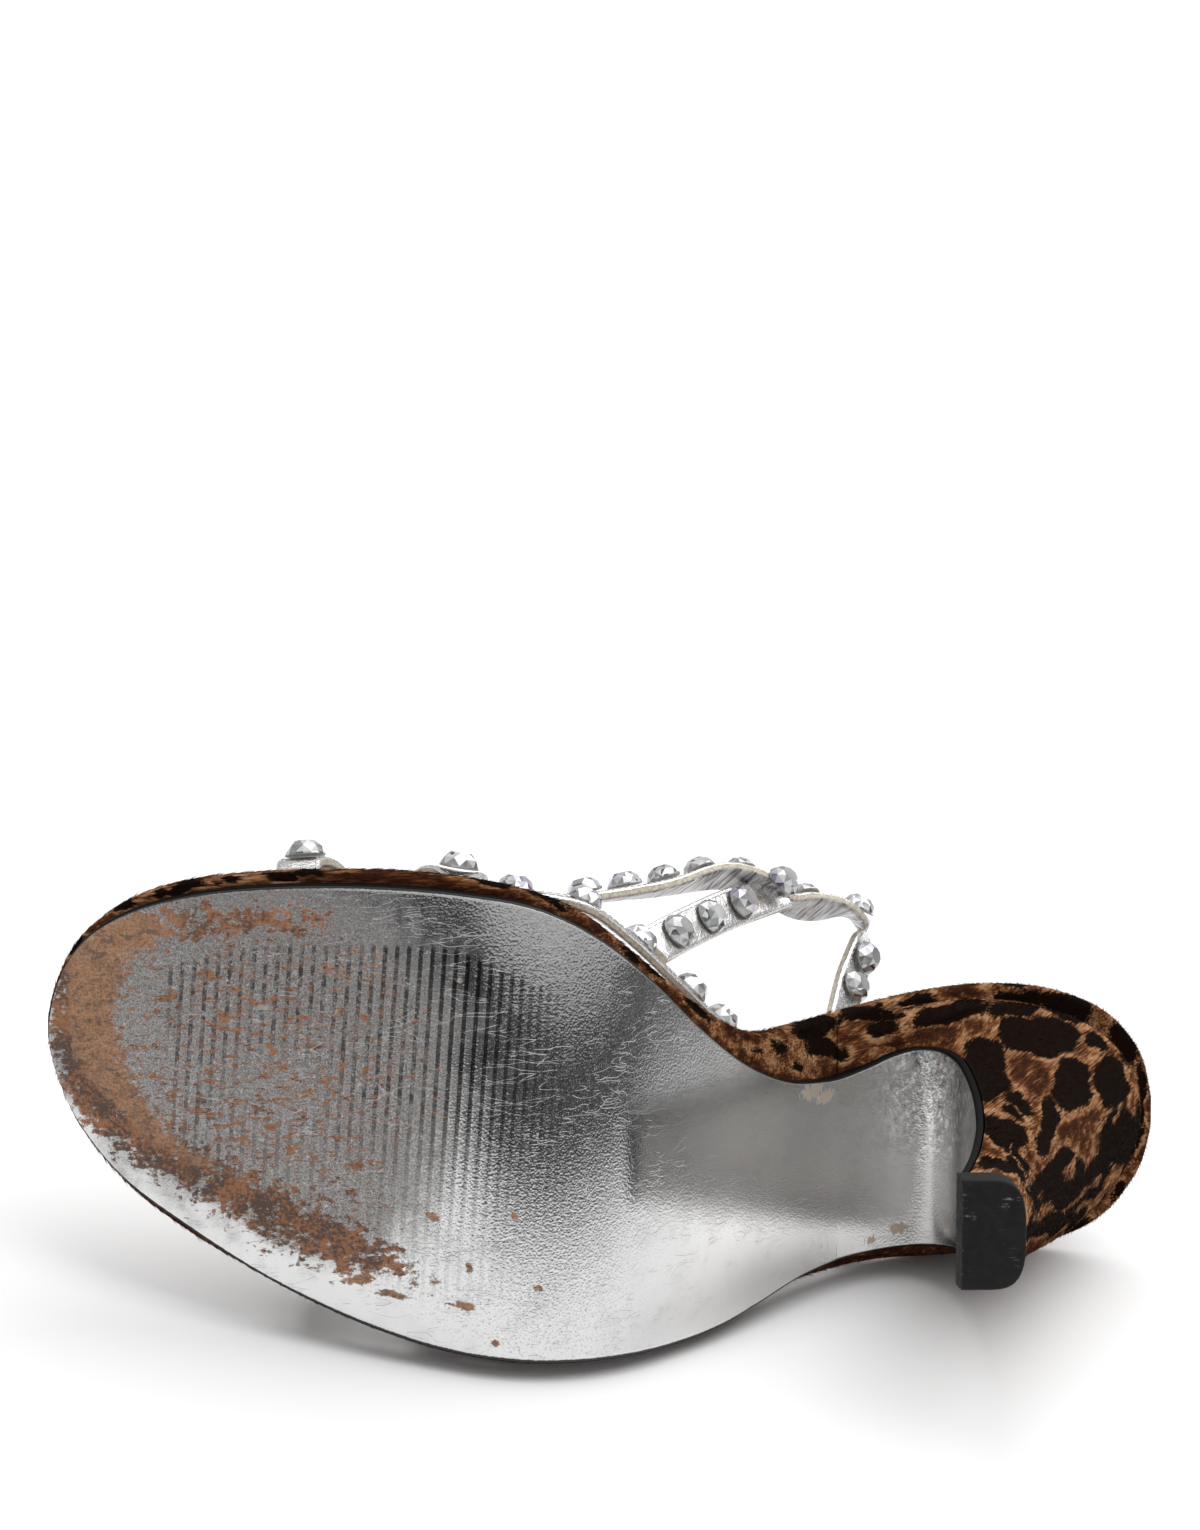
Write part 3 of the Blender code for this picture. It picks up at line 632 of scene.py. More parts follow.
hide = {
    "patches": (  # x, y, half length, half width, turn
        (43, 37.5, 4.5, 2, -5), (34.5, 37, 4, 2, 20), (39, 32, 6.5, 3, 5), (48, 26.5, 3.5, 5, -10),
        (33.5, 24, 3, 4, 0), (27, 24.5, 2.5, 4, -10), (42.5, 20.5, 2.5, 2, 45), (45, 16, 4.5, 2, 30),
        (37.5, 17, 1.5, 4.5, 10), (26, 15, 3, 4.5, 15), (29.5, 9.5, 3, 2, -30), (36.5, 8.5, 2.4, 5, 38),
        (33, 5.5, 4.5, 2, -28), (36, 0.5, 5.5, 2, -10), (45.5, 10.5, 3.5, 1, 5), (25, 31, 1.5, 3.5, -25),
        (22, 22, 0.7, 5, 0), (54, 36, 6, 1.5, -15), (65, 33.5, 2.5, 1.2, -5), (69, 36, 3.5, 1.2, -10),
        (76.5, 34, 4, 1.5, -10), (74.5, 30, 3.5, 1.5, 20), (59.5, 38, 3, 1, -10), (79.5, 27, 2, 0.8, 10),
        (43, 41, 3.5, 0.5, 0), (29.5, 31, 2, 1, 40), (42.5, 11, 1, 3.5, -25), (52, 16.5, 1, 2.5, 0),
        (26.5, 32.5, 1, 0.8, 40), (23, 14, 0.8, 2.5, 15), (25.5, 6, 1, 1.5, 30), (39.5, 4, 0.7, 2, 10),
        (181.5, 56.5, 4.5, 0.9, -20), (162, 59, 6, 0.7, -5), (190, 54, 2, 0.8, -35), (128.5, 58, 6, 0.9, 10),
        (120, 55.5, 4.5, 0.9, 20), (198.5, 48, 1.5, 2.5, -60), (173, 58, 2.5, 0.5, -10), (107, 45.5, 2, 1, 40),
        (107.5, 48, 2.5, 0.6, 35), (96, 37, 3, 0.7, 45), (118, 53, 1.5, 0.5, 25), (103, 43.5, 2, 0.5, 40),
        (85.5, 30.5, 2, 0.6, -20), (82, 29.5, 1.5, 0.7, -10), (88, 30.5, 1.5, 0.5, 20)),
    "veins": (  # pale lines between the patches: half width, and points
        (0.25, ((41.5, 4.5), (40.5, 10), (40.5, 15.5), (41.5, 19), (44, 20.5), (48, 20))),
        (0.15, ((40.5, 4.5), (39.5, 10), (39, 15.5), (39, 21))),
        (0.12, ((41, 7), (42, 10.5), (44.5, 13.5))), (0.12, ((41, 5.5), (41.5, 8.5), (43, 12), (43.5, 14.5))),
        (0.3, ((40.5, 3), (36.5, 7), (34, 10), (32.5, 13), (28, 17), (24, 20))),
        (0.25, ((40.5, 1.5), (35, 3), (31.5, 6), (28.5, 9))),
        (0.3, ((37.5, 12), (35.5, 16), (36, 20.5)))),
    "patchSize": 1.06, "veinSlope": 2.4, "outside": -6.0, "wobble": (0.35, 0.18),  # broad and small, in millimetres
    "frontColumns": (7, 8),  # at both ends of a ring of the heel
}


def patchField(points):  # millimetres inside a dark patch, below nought outside
    eye = np.array(lie["eye"])
    seen = eye + (points - eye) * (-eye[2] / (points[:, 2] - eye[2]))[:, None]
    x, y = seen[:, 0].copy(), seen[:, 1].copy()
    big, small = hide["wobble"]  # for uneven outlines
    seen[:, 0] += big * np.sin(0.85 * y + 0.3 * x) + small * np.sin(2.1 * y - 0.7 * x + 1.0)
    seen[:, 1] += big * np.sin(0.95 * x - 0.4 * y + 2.0) + small * np.sin(2.3 * x + 0.6 * y)
    field = np.full(len(points), hide["outside"])
    for x, y, long, wide, turn in hide["patches"]:
        c, s = math.cos(math.radians(turn)), math.sin(math.radians(turn))
        dx, dy = seen[:, 0] - x, seen[:, 1] - y
        far = np.cbrt(np.abs((c * dx + s * dy) / long) ** 3 + np.abs((c * dy - s * dx) / wide) ** 3)
        field = np.maximum(field, (hide["patchSize"] - far) * math.sqrt(long * wide))
    for half, path in hide["veins"]:
        for x, y in smoothRows(path, 12):
            far = np.hypot(seen[:, 0] - x, seen[:, 1] - y)
            field = np.minimum(field, hide["veinSlope"] * (far - half))
    return field


def addPatches(piece, turnedAway=(-0.05, 0.2), columns=0):
    points = np.empty(len(piece.data.vertices) * 3, np.float32)
    piece.data.attributes["shoe"].data.foreach_get("vector", points)
    points = points.reshape(-1, 3).astype(float)
    facing = np.array([v.normal for v in piece.data.vertices]) @ np.array(lieTurn)
    toEye = unit(np.array(lie["eye"]) - points)
    addAttribute(piece.data, "spotField", patchField(points))
    share = ease(*calfHair["turnAt"], points[:, 0])[:, None]
    way = unit(lerp(np.array(calfHair["fall"]), np.array(calfHair["trail"]), share))
    beside = unit(np.cross(way, (0.0, 1.0, 0.0)))
    addAttribute(piece.data, "hairWay", way @ np.array(lieTurn).T)
    off = points - np.array(calfHair["parting"])
    axes = (way, beside, np.cross(way, beside))
    addAttribute(piece.data, "hairRun", np.stack([(off * axis).sum(1) for axis in axes], -1))
    known = ease(*turnedAway, (facing * toEye).sum(1))
    if columns:  # the laid-out patches run round the feathered inner edge of the front
        known = known.reshape(-1, columns)
        first, last = hide["frontColumns"]
        known[:, :first] = 1.0
        known[:, -last:] = 1.0
    addAttribute(piece.data, "spotKnown", known.ravel())


def hairTree():  # short hairs that lie along the hide
    g = Tree("calf_hairs", "PerArea Length Thick Lift Stray", Seed="Int", Hair="Material")
    inputs = {"Mesh": g.given("Geometry"), "Density": g.times(g.given("PerArea"), g.named("hairShare")),
              "Seed": g.given("Seed")}
    spread = g.node("GeometryNodeDistributePointsOnFaces", inputs)
    normal = spread.outputs["Normal"]
    way = g.named("hairWay", "FLOAT_VECTOR")
    rise = g.vector("SCALE", normal, g.vector("DOT_PRODUCT", way, normal))
    flat = g.vector("NORMALIZE", g.vector("SUBTRACT", way, rise))
    lifted = g.vector("SCALE", normal, g.given("Lift"))
    strayed = g.vector("SCALE", g.random((-1.0, -1.0, -1.0), (1.0, 1.0, 1.0)), g.given("Stray"))
    aim = g.vector("ADD", g.vector("ADD", flat, lifted), strayed)
    inputs = {"Geometry": spread.outputs["Points"], "Name": "aim", "Value": aim}
    kept = g.node("GeometryNodeStoreNamedAttribute", inputs, data_type="FLOAT_VECTOR", domain="POINT").outputs[0]
    inputs = {"Vertices": 3, "Radius Top": 0.0, "Radius Bottom": g.given("Thick"), "Depth": g.given("Length")}
    spike = g.node("GeometryNodeMeshCone", inputs).outputs["Mesh"]
    turned = g.aimed(g.named("aim", "FLOAT_VECTOR"))
    g.close(g.instances(kept, spike, turned, Scale=g.random(*calfHair["sizes"])), (g.given("Hair"), True))
    return g


def growHairs(name, skin, share):
    mesh = skin.data.copy()
    height = np.array([v.co.z for v in mesh.vertices])
    addAttribute(mesh, "hairShare", share * ease(*calfHair["offFloor"], height))
    return hairTree().apply(
        link(name, mesh), PerArea=calfHair["perMm"] * 1e6, Length=calfHair["length"] * mm,
        Thick=calfHair["thick"] * mm, Lift=calfHair["lift"], Stray=calfHair["stray"], Seed=calfHair["seed"],
        Hair=finishHair)


# sole leather, down the breast of the heel

outsole = {
    "thick": 2.2, "flapThick": 1.3, "bevel": 0.35, "inkReach": 0.30, "planSteps": 42, "breastSteps": 9, "across": 84,
    "plan": (  # toe to waist: outer x, outer y, inner x, inner y
        (202.4, 30.0, 202.4, 34.8), (201.0, 24.2, 201.2, 40.2), (197.2, 16.4, 198.2, 46.0),
        (190.0, 7.8, 193.6, 50.4), (179.0, -0.3, 186.0, 54.0), (166.0, -8.5, 175.0, 56.4),
        (153.0, -14.9, 161.0, 57.4), (140.0, -19.7, 147.0, 57.2), (128.0, -22.4, 134.0, 56.0),
        (119.0, -23.6, 123.0, 53.5), (110.0, -24.2, 113.0, 47.8), (101.0, -24.4, 104.0, 39.5),
        (92.0, -23.6, 95.5, 30.3), (84.0, -21.6, 86.5, 22.1), (76.0, -19.3, 78.0, 17.4), (68.0, -18.2, 70.0, 16.0)),
    "breast": (  # outer face of the leather: x, z, outer y, inner y
        (60.0, 62.9, -18.0, 17.2), (55.0, 66.3, -17.9, 18.8), (50.4, 67.9, -17.8, 19.8), (46.6, 66.9, -17.6, 19.8),
        (44.0, 63.6, -17.3, 18.8), (43.0, 58.0, -16.7, 17.2), (42.9, 47.0, -15.0, 14.4), (44.4, 33.0, -12.9, 11.5),
        (47.4, 19.0, -11.3, 9.3), (51.0, 6.6, -10.6, 8.0)),
    "edge": ((0.45, 0.10), (0.08, 0.35), (0.0, 0.75), (0.0, 1.0)),  # inset in bevels and depth in thicknesses
    "ribPitch": 1.95, "archPitch": 1.35, "ribSlant": 0.067, "ribDepth": 0.08, "ribWidth": 0.4, "ribRound": 0.07,
    "ribPanel": (117.0, 183.0, -13.0, 47.5), "pitchAt": (116, 138),  # x from, x to, y from, y to
    "dirtShare": (0.25, 0.92), "dirtAcross": (4, 24), "dirtAlong": (112, 135),  # how black the grooves are
    "faint": 0.35, "faintAcross": (-4, 20), "flattened": 0.85,  # where the ribs are shallower
    "crown": (  # x, bulge
        (40, 0.2), (68, 0.5), (85, 1.0), (100, 1.5), (130, 1.7), (160, 1.2), (190, 0.6), (205, 0.2)),
    "tanBand": (  # where the silver is worn through: x, y, half width, strength
        (180, 51.6, 3.0, 0.45), (187.5, 49.4, 4.5, 0.80), (194, 45.5, 5.0, 1.0), (196, 38.0, 5.0, 1.0),
        (195, 30.0, 4.5, 1.0), (191.5, 23.5, 3.5, 0.9), (186.5, 17.5, 2.6, 0.8), (180, 12.5, 2.2, 0.65),
        (172, 9.5, 1.6, 0.45)),
    "mottleBand": (  # brown and dark patches: x, y, half width, strength
        (158, 51.5, 3.5, 0.75), (168, 51.5, 4.0, 0.85), (178, 51.0, 4.5, 0.9), (190, 50.0, 4.0, 0.8),
        (198, 42.0, 4.5, 1.1), (199.5, 33.0, 4.5, 1.15), (197, 24.0, 4.5, 1.15), (191.5, 18.0, 5.0, 1.1),
        (185, 13.5, 5.0, 1.05), (177.5, 9.5, 5.5, 1.0), (171, 6.0, 6.0, 1.0), (164.5, 2.5, 6.2, 1.0),
        (158, -0.5, 6.2, 1.0), (151.5, -3.5, 6.0, 0.95), (145, -6.5, 4.5, 0.75), (139, -9.0, 2.5, 0.5)),
    "scars": (  # x, y, half length, half width, turn
        (134.0, -12.5, 3.0, 0.7, 12), (122.0, -10.0, 0.8, 0.6, 0), (129.0, -19.0, 0.8, 0.7, 0),
        (133.5, -6.0, 1.2, 0.6, 70), (151.5, -8.0, 3.6, 0.9, -8), (146.0, -10.5, 2.6, 0.6, 14),
        (139.5, 2.5, 1.4, 0.7, 30), (126.0, 2.5, 1.1, 0.6, 60)),
    # ovals of wear, x, y, half length and half width: ribs rubbed flat, the tread, below it
    "flatWear": (165, 24, 17, 12), "treadWear": (170, 27, 34, 31), "lowerWear": (154, 2, 15, 10),
    "pitMargin": (-106.5, -99.5),  # like marginAt of the silver
    "glueSpots": ((71.5, 14.6, 2.0), (69.0, 13.0, 1.6), (59.0, -15.5, 1.0), (53.5, -14.0, 1.5)),  # x, y, radius
}


def bulge(x, t):  # the face is crowned from side to side
    crown = np.array(outsole["crown"])
    return np.interp(x, crown[:, 0], crown[:, 1]) * (1 - (2 * t - 1) ** 2)


def soleRows():
    rows, inward, thick = [], [], []
    plan = smoothRows(outsole["plan"], outsole["planSteps"])
    for ox, oy, ix, iy in plan:
        t = np.linspace(0, 1, outsole["across"] + 1)
        x, y = lerp(ox, ix, t), lerp(oy, iy, t)
        outer, inner = bed(x, y, -gap - outsole["thick"]), bed(x, y, -gap)
        way = (inner - outer) / outsole["thick"]
        rows.append(outer - way * bulge(x, t)[:, None])
        inward.append(way)
        thick.append(outsole["thick"])
    coarse = smoothRows(outsole["plan"], 2)[-5::2]
    lead = []
    for ox, oy, ix, iy in coarse:
        middle = bed(lerp(ox, ix, 0.5), lerp(oy, iy, 0.5), -gap - outsole["thick"])
        lead.append((middle[0], middle[2], oy, iy))
    steps = outsole["breastSteps"]
    dense = smoothRows(lead + list(outsole["breast"]), steps)
    first = (len(lead) - 1) * steps
    for i in range(first + 1, len(dense)):
        x, z, outerY, innerY = dense[i]
        along = unit(dense[min(i + 1, len(dense) - 1)][:2] - dense[i - 1][:2])
        share = (i - first) / (len(dense) - 1 - first)
        y = np.linspace(outerY, innerY, outsole["across"] + 1)
        way = np.tile((along[1], 0.0, -along[0]), (len(y), 1))
        swell = bulge(np.full_like(y, x), np.linspace(0, 1, len(y)))[:, None]
        rows.append(np.stack([np.full_like(y, x), y, np.full_like(y, z)], -1) - way * swell)
        inward.append(way)
        thick.append(lerp(outsole["thick"], outsole["flapThick"], min(1.0, 2 * share)))
    return np.array(rows), np.array(inward), np.array(thick), len(plan)


def ribRun(x, y):  # rib count along the foot, closer set towards the arch
    at = x + outsole["ribSlant"] * y
    grid = np.linspace(80, 215, 1351)
    pitch = lerp(outsole["archPitch"], outsole["ribPitch"], ease(*outsole["pitchAt"], grid))
    count = np.concatenate(([0.0], np.cumsum(np.diff(grid) / pitch[1:])))
    return np.interp(at, grid, count)


def ribShare(x, y):
    xFrom, xTo, yFrom, yTo = outsole["ribPanel"]
    panel = ease(xFrom - 3, xFrom + 6, x) * (1 - ease(xTo - 3, xTo + 2, x))
    top = yTo - 0.9 * ease(140, 117, x) * 9 - 3 * ease(165, 185, x)
    panel = panel * (1 - ease(top - 2.0, top + 1.0, y)) * ease(yFrom - 2, yFrom + 4, y)
    rubbed = np.exp(-oval(x, y, *outsole["flatWear"]))
    inside = ease(*silverSole["marginAt"], y - silverSole["marginSlope"] * x)
    firm = lerp(outsole["faint"], 1.0, ease(*outsole["faintAcross"], y))
    return panel * (1 - outsole["flattened"] * rubbed) * firm * inside


def bandWear(x, y, band):
    worn = np.zeros_like(x)
    for bx, by, half, strength in smoothRows(band, 5):
        near = np.exp(-(((x - bx) ** 2 + (y - by) ** 2) / (2 * (0.75 * half) ** 2)))
        worn = np.maximum(worn, strength * near)
    return worn


def scarWear(x, y):
    worn = np.zeros_like(x)
    for scar in outsole["scars"]:
        worn = np.maximum(worn, 1.1 * np.exp(-oval(x, y, *scar)))
    return worn


def pitWear(x, y):
    tread = np.exp(-oval(x, y, *outsole["treadWear"]) ** 1.8)
    lower = np.exp(-oval(x, y, *outsole["lowerWear"]))
    inside = ease(*outsole["pitMargin"], y - silverSole["marginSlope"] * x)  # less wear at the outer edge
    return np.clip(1.2 * tread + 0.25 * lower, 0, 1.2) * lerp(0.36, 1.0, inside)


def glueStain(x, y):
    glue = np.zeros_like(x)
    for gx, gy, radius in outsole["glueSpots"]:
        glue = np.maximum(glue, np.exp(-oval(x, y, gx, gy, 1.6 * radius, radius)))
    return glue


def grooveDirt(x, y):
    return lerp(*outsole["dirtShare"], ease(*outsole["dirtAcross"], y)) * ease(*outsole["dirtAlong"], x)


def makeSole():
    rows, inward, thick, planRows = soleRows()
    across = outsole["across"] + 1
    under = [int(round((1 - share) * (across - 1))) for share in (0.25, 0.5, 0.75)]  # points on the hidden side
    rings = []
    for row, way, deep in zip(rows, inward, thick):
        side = row[-1] - row[0]
        width = np.linalg.norm(side)
        side = side / width
        pull = min(outsole["bevel"], 0.3 * width)
        t = np.linspace(0, 1, across)
        t[1] = min(outsole["inkReach"] / width, t[1])
        t[-2] = 1 - t[1]
        face = row[0] + pull * side + t[:, None] * (width - 2 * pull) * side
        face = face + (row - (row[0] + t[:, None] * (row[-1] - row[0])))
        inner = [row[-1] - inset * pull * side + drop * deep * way[-1] for inset, drop in outsole["edge"]]
        outer = [row[0] + inset * pull * side + drop * deep * way[0] for inset, drop in outsole["edge"][::-1]]
        rings.append(np.vstack([face, inner, row[under] + deep * way[under], outer]))
    rings = np.array(rings)
    count = rings.shape[1]
    points = rings.reshape(-1, 3)
    kinds = ([0] * (across - 1) + [1] * (count - across + 1)) * (len(rings) - 1) + [1, 1]
    x, y = points[:, 0], points[:, 1]
    onFace, ink = np.zeros((2, len(rings), count))
    onFace[:planRows, :across] = 1.0
    ink[:, 0] = 1.0
    ink[:, across - 1:] = 1.0
    piece = makePiece(
        "sole_leather", points, ringFaces(len(rings), count), [finishSole, finishEdge], kinds, ribRun=ribRun(x, y),
        ribShare=onFace.ravel() * ribShare(x, y), pitWear=pitWear(x, y), glueStain=glueStain(x, y),
        tanWear=np.maximum(bandWear(x, y, outsole["tanBand"]), scarWear(x, y)), rimInk=ink.ravel(),
        mottleWear=bandWear(x, y, outsole["mottleBand"]), grooveDirt=grooveDirt(x, y))
    outward(piece)
    return piece


def ribTree():  # presses the ribs into the face of the sole
    g = Tree("tread_ribs", "Depth Width Round", Leather="Material")
    wave = g.maths("ABSOLUTE", g.less(g.maths("FRACT", g.named("ribRun")), 0.5))
    half = g.times(g.given("Width"), 0.5)
    dip = g.step(wave, g.less(half, g.given("Round")), g.plus(half, g.given("Round")), 1.0, 0.0)
    down = g.times(g.times(dip, g.named("ribShare")), g.times(g.given("Depth"), -1.0))
    offset = g.vector("SCALE", g.node("GeometryNodeInputNormal").outputs[0], down)
    moved = g.node("GeometryNodeSetPosition", {"Geometry": g.given("Geometry"), "Offset": offset})
    onLeather = g.node("GeometryNodeMaterialSelection", {"Material": g.given("Leather")}).outputs[0]
    g.close(moved.outputs[0], (g.given("Leather"), onLeather))
    return g


soleLeather = makeSole()
ribTree().apply(soleLeather, Depth=outsole["ribDepth"] * mm, Width=outsole["ribWidth"],
                Round=outsole["ribRound"], Leather=finishSole)
settle(soleLeather, "outsole", slot="silver_leather")
print("sole leather:", len(soleLeather.data.polygons), "faces")


# footbed, a covered board with a rounded rim

footbed = {
    "thick": 3.4, "steps": 8, "across": 22, "rim": 7, "rimReach": 1.3, "rimFull": 0.6,
    "plan": (  # heel to toe: outer x, outer y, inner x, inner y
        (0.2, -0.5, 0.2, 6.5), (1.8, -7.0, 1.8, 13.5), (4.6, -12.0, 4.6, 18.2), (8.5, -16.6, 8.7, 22.4),
        (14.0, -20.0, 14.5, 25.6), (22.0, -22.3, 23.0, 28.2), (33.0, -22.9, 35.0, 29.4), (45.0, -22.2, 47.0, 29.0),
        (57.0, -20.8, 60.0, 27.8), (68.0, -20.4, 72.0, 26.6), (78.0, -20.8, 82.0, 26.6), (87.0, -22.8, 89.2, 30.2),
        (96.0, -24.3, 97.4, 36.9), (106.0, -24.7, 106.4, 45.4), (116.0, -24.2, 115.7, 52.7),
        (127.0, -22.9, 127.6, 57.0), (140.0, -20.2, 142.0, 59.1), (153.0, -15.6, 156.0, 59.5),
        (166.0, -9.2, 169.0, 59.0), (179.0, -1.8, 180.5, 57.5), (190.0, 6.2, 190.0, 54.3),
        (197.8, 15.2, 198.0, 48.2), (202.0, 23.6, 202.0, 41.2), (203.6, 30.0, 203.6, 35.4)),
}


def makeFootbed():
    thick, rim = footbed["thick"], footbed["rim"]
    rings = []
    for ox, oy, ix, iy in smoothRows(footbed["plan"], footbed["steps"]):
        width = math.hypot(ix - ox, iy - oy)
        reach = min(footbed["rimReach"], 0.3 * width)
        turn = np.linspace(-0.5 * math.pi, 0.5 * math.pi, rim)
        swell = np.cos(turn) ** footbed["rimFull"]  # a full rounded rim
        rise = 0.5 * thick + 0.5 * thick * np.sin(turn)
        inner = 1 - (reach / width) * (1 - swell)
        t = np.linspace(reach / width, 1 - reach / width, footbed["across"])[1:-1]
        shares = np.concatenate([t, inner, t[::-1], (1 - inner)[::-1]])
        rises = np.concatenate([np.zeros_like(t), rise, np.full_like(t, thick), rise[::-1]])
        rings.append(bed(lerp(ox, ix, shares), lerp(oy, iy, shares), rises))
    piece = makeTube("footbed", rings, finishHair, 70)
    addPatches(piece, (-0.40, -0.15))
    flats = footbed["across"] - 2
    onRim = np.zeros(np.shape(rings)[:2])
    onRim[:, flats:flats + rim - 1] = 1.0
    onRim[:, 2 * flats + rim + 1:] = 1.0
    return piece, onRim.ravel()


footbedPiece, rimShare = makeFootbed()
rimHairs = growHairs("rim_hairs", footbedPiece, rimShare)
settle(footbedPiece, "insole", slot="hair_calf")
settle(rimHairs, slot="hair_calf")
print("footbed:", len(footbedPiece.data.polygons), "faces,", len(rimHairs.data.polygons), "of hairs")


# heel and its top piece

heel = {
    "turn": 0.35, "seatFront": 66.0, "seatBack": 2.6, "seatWidths": (-18.4, 25.2, -20.4, 27.0),
    "steps": 9, "round": 60, "seatRows": 12, "frontPoints": 24, "bareRows": 6,  # no hairs on the lowest rows
    "crowded": 0.55, "crowding": 1.8, "fullBack": 1.15,  # points drawn to the back, and how full it is
    "back": (  # behind each row of the breast from the second on: back x, back z, widest outer y, widest inner y
        (3.0, 91.5, -20.0, 26.6), (5.2, 87.0, -19.6, 25.0), (8.2, 81.5, -19.1, 22.6), (11.8, 75.0, -18.3, 20.0),
        (16.0, 67.0, -17.2, 17.6), (23.0, 51.0, -14.9, 13.9), (30.5, 34.0, -12.7, 11.2), (36.5, 19.0, -11.2, 9.1),
        (40.8, 6.6, -10.6, 7.9)),
    "liftHeight": 6.0, "liftFlare": 0.2, "liftLip": 0.6, "liftBevel": 0.5, "liftChamfer": 0.3, "liftSquare": 3.0,
}


def heelHalf(share, front, widest, square):
    early = lerp(front, widest, np.sin(0.5 * math.pi * np.minimum(share / heel["turn"], 1.0)))
    past = np.maximum(share - heel["turn"], 0) / (1 - heel["turn"])
    late = widest * np.maximum(0.0, 1 - past ** (heel["fullBack"] * square)) ** (1 / square)
    return np.where(share < heel["turn"], early, late)


# share from front to back, and y, round a section
def heelRing(outerFront, innerFront, outerWidest, innerWidest, square=2.0):
    even = np.linspace(0, 1, heel["round"])
    share = lerp(even, 1 - (1 - even) ** heel["crowding"], heel["crowded"])
    frontMiddle, backMiddle = 0.5 * (outerFront + innerFront), 0.5 * (outerWidest + innerWidest)
    centre = lerp(frontMiddle, backMiddle, np.minimum(1.0, share / heel["turn"]))
    inner = centre + heelHalf(share, innerFront - frontMiddle, innerWidest - backMiddle, square)
    outer = centre + heelHalf(share, outerFront - frontMiddle, outerWidest - backMiddle, square)
    across = np.linspace(outerFront, innerFront, heel["frontPoints"] + 2)[1:-1]
    return np.concatenate([share, share[-2::-1], 0 * across]), np.concatenate([inner, outer[-2::-1], across])


def makeHeel():
    rows, inward, thick, planRows = soleRows()
    breast = list(zip(rows[planRows:], inward[planRows:], thick[planRows:]))
    steps = outsole["breastSteps"]
    used = breast[steps * 2 - 1:]
    backs = smoothRows(heel["back"], heel["steps"])
    share, y = heelRing(*heel["seatWidths"])
    rings = [bed(lerp(heel["seatFront"], heel["seatBack"], share), y, -gap)]
    for (row, way, deep), (backX, backZ, outerWidest, innerWidest) in zip(used, backs):
        front = row[0] + (deep + gap) * way[0]
        share, y = heelRing(row[0][1], row[-1][1], outerWidest, innerWidest)
        rings.append(np.stack([lerp(front[0], backX, share), y, lerp(front[2], backZ, share)], -1))
    between = [lerp(rings[0], rings[1], t) for t in np.linspace(0, 1, heel["seatRows"] + 1)[1:-1]]
    rings = np.array(rings[:1] + between + rings[1:])
    piece = makeTube("heel_cover", rings, finishHair, 60)
    addPatches(piece, columns=rings.shape[1])
    onSide = np.ones(rings.shape[:2])
    onSide[0] = 0.0
    onSide[-heel["bareRows"]:] = 0.0
    onSide[:, :2] = 0.0
    onSide[:, -heel["frontPoints"] - 2:] = 0.0
    return piece, onSide.ravel()


def makeTip():
    frontX, _, outerY, innerY = outsole["breast"][-1]
    backX = heel["back"][-1][0]
    bevel, top, flare, chamfer = (heel[key] for key in ("liftBevel", "liftHeight", "liftFlare", "liftChamfer"))
    rings = []
    for height, grow in ((0.0, -bevel), (0.15 * bevel, -0.45 * bevel), (0.5 * bevel, -0.1 * bevel), (bevel, 0.0),
                         (top - chamfer, flare), (top, flare - chamfer)):
        share, y = heelRing(outerY - grow, innerY + grow, outerY - grow, innerY + grow, heel["liftSquare"])
        x = lerp(frontX + grow + heel["liftLip"], backX - grow, share)
        rings.append(np.stack([x, y, np.full_like(x, height)], -1))
    return makeTube("heel_tip", rings, finishTip, 40)


heelCover, sideShare = makeHeel()
heelHairs = growHairs("heel_hairs", heelCover, sideShare)
settle(heelCover, "heel", slot="hair_calf")
settle(heelHairs, slot="hair_calf")
heelTip = makeTip()
settle(heelTip, "top_piece", slot="black_rubber")
print("heel:", len(heelCover.data.polygons), "faces,", len(heelHairs.data.polygons), "of hairs")


# straps: x, y, height above the footbed, and the way the outer face looks

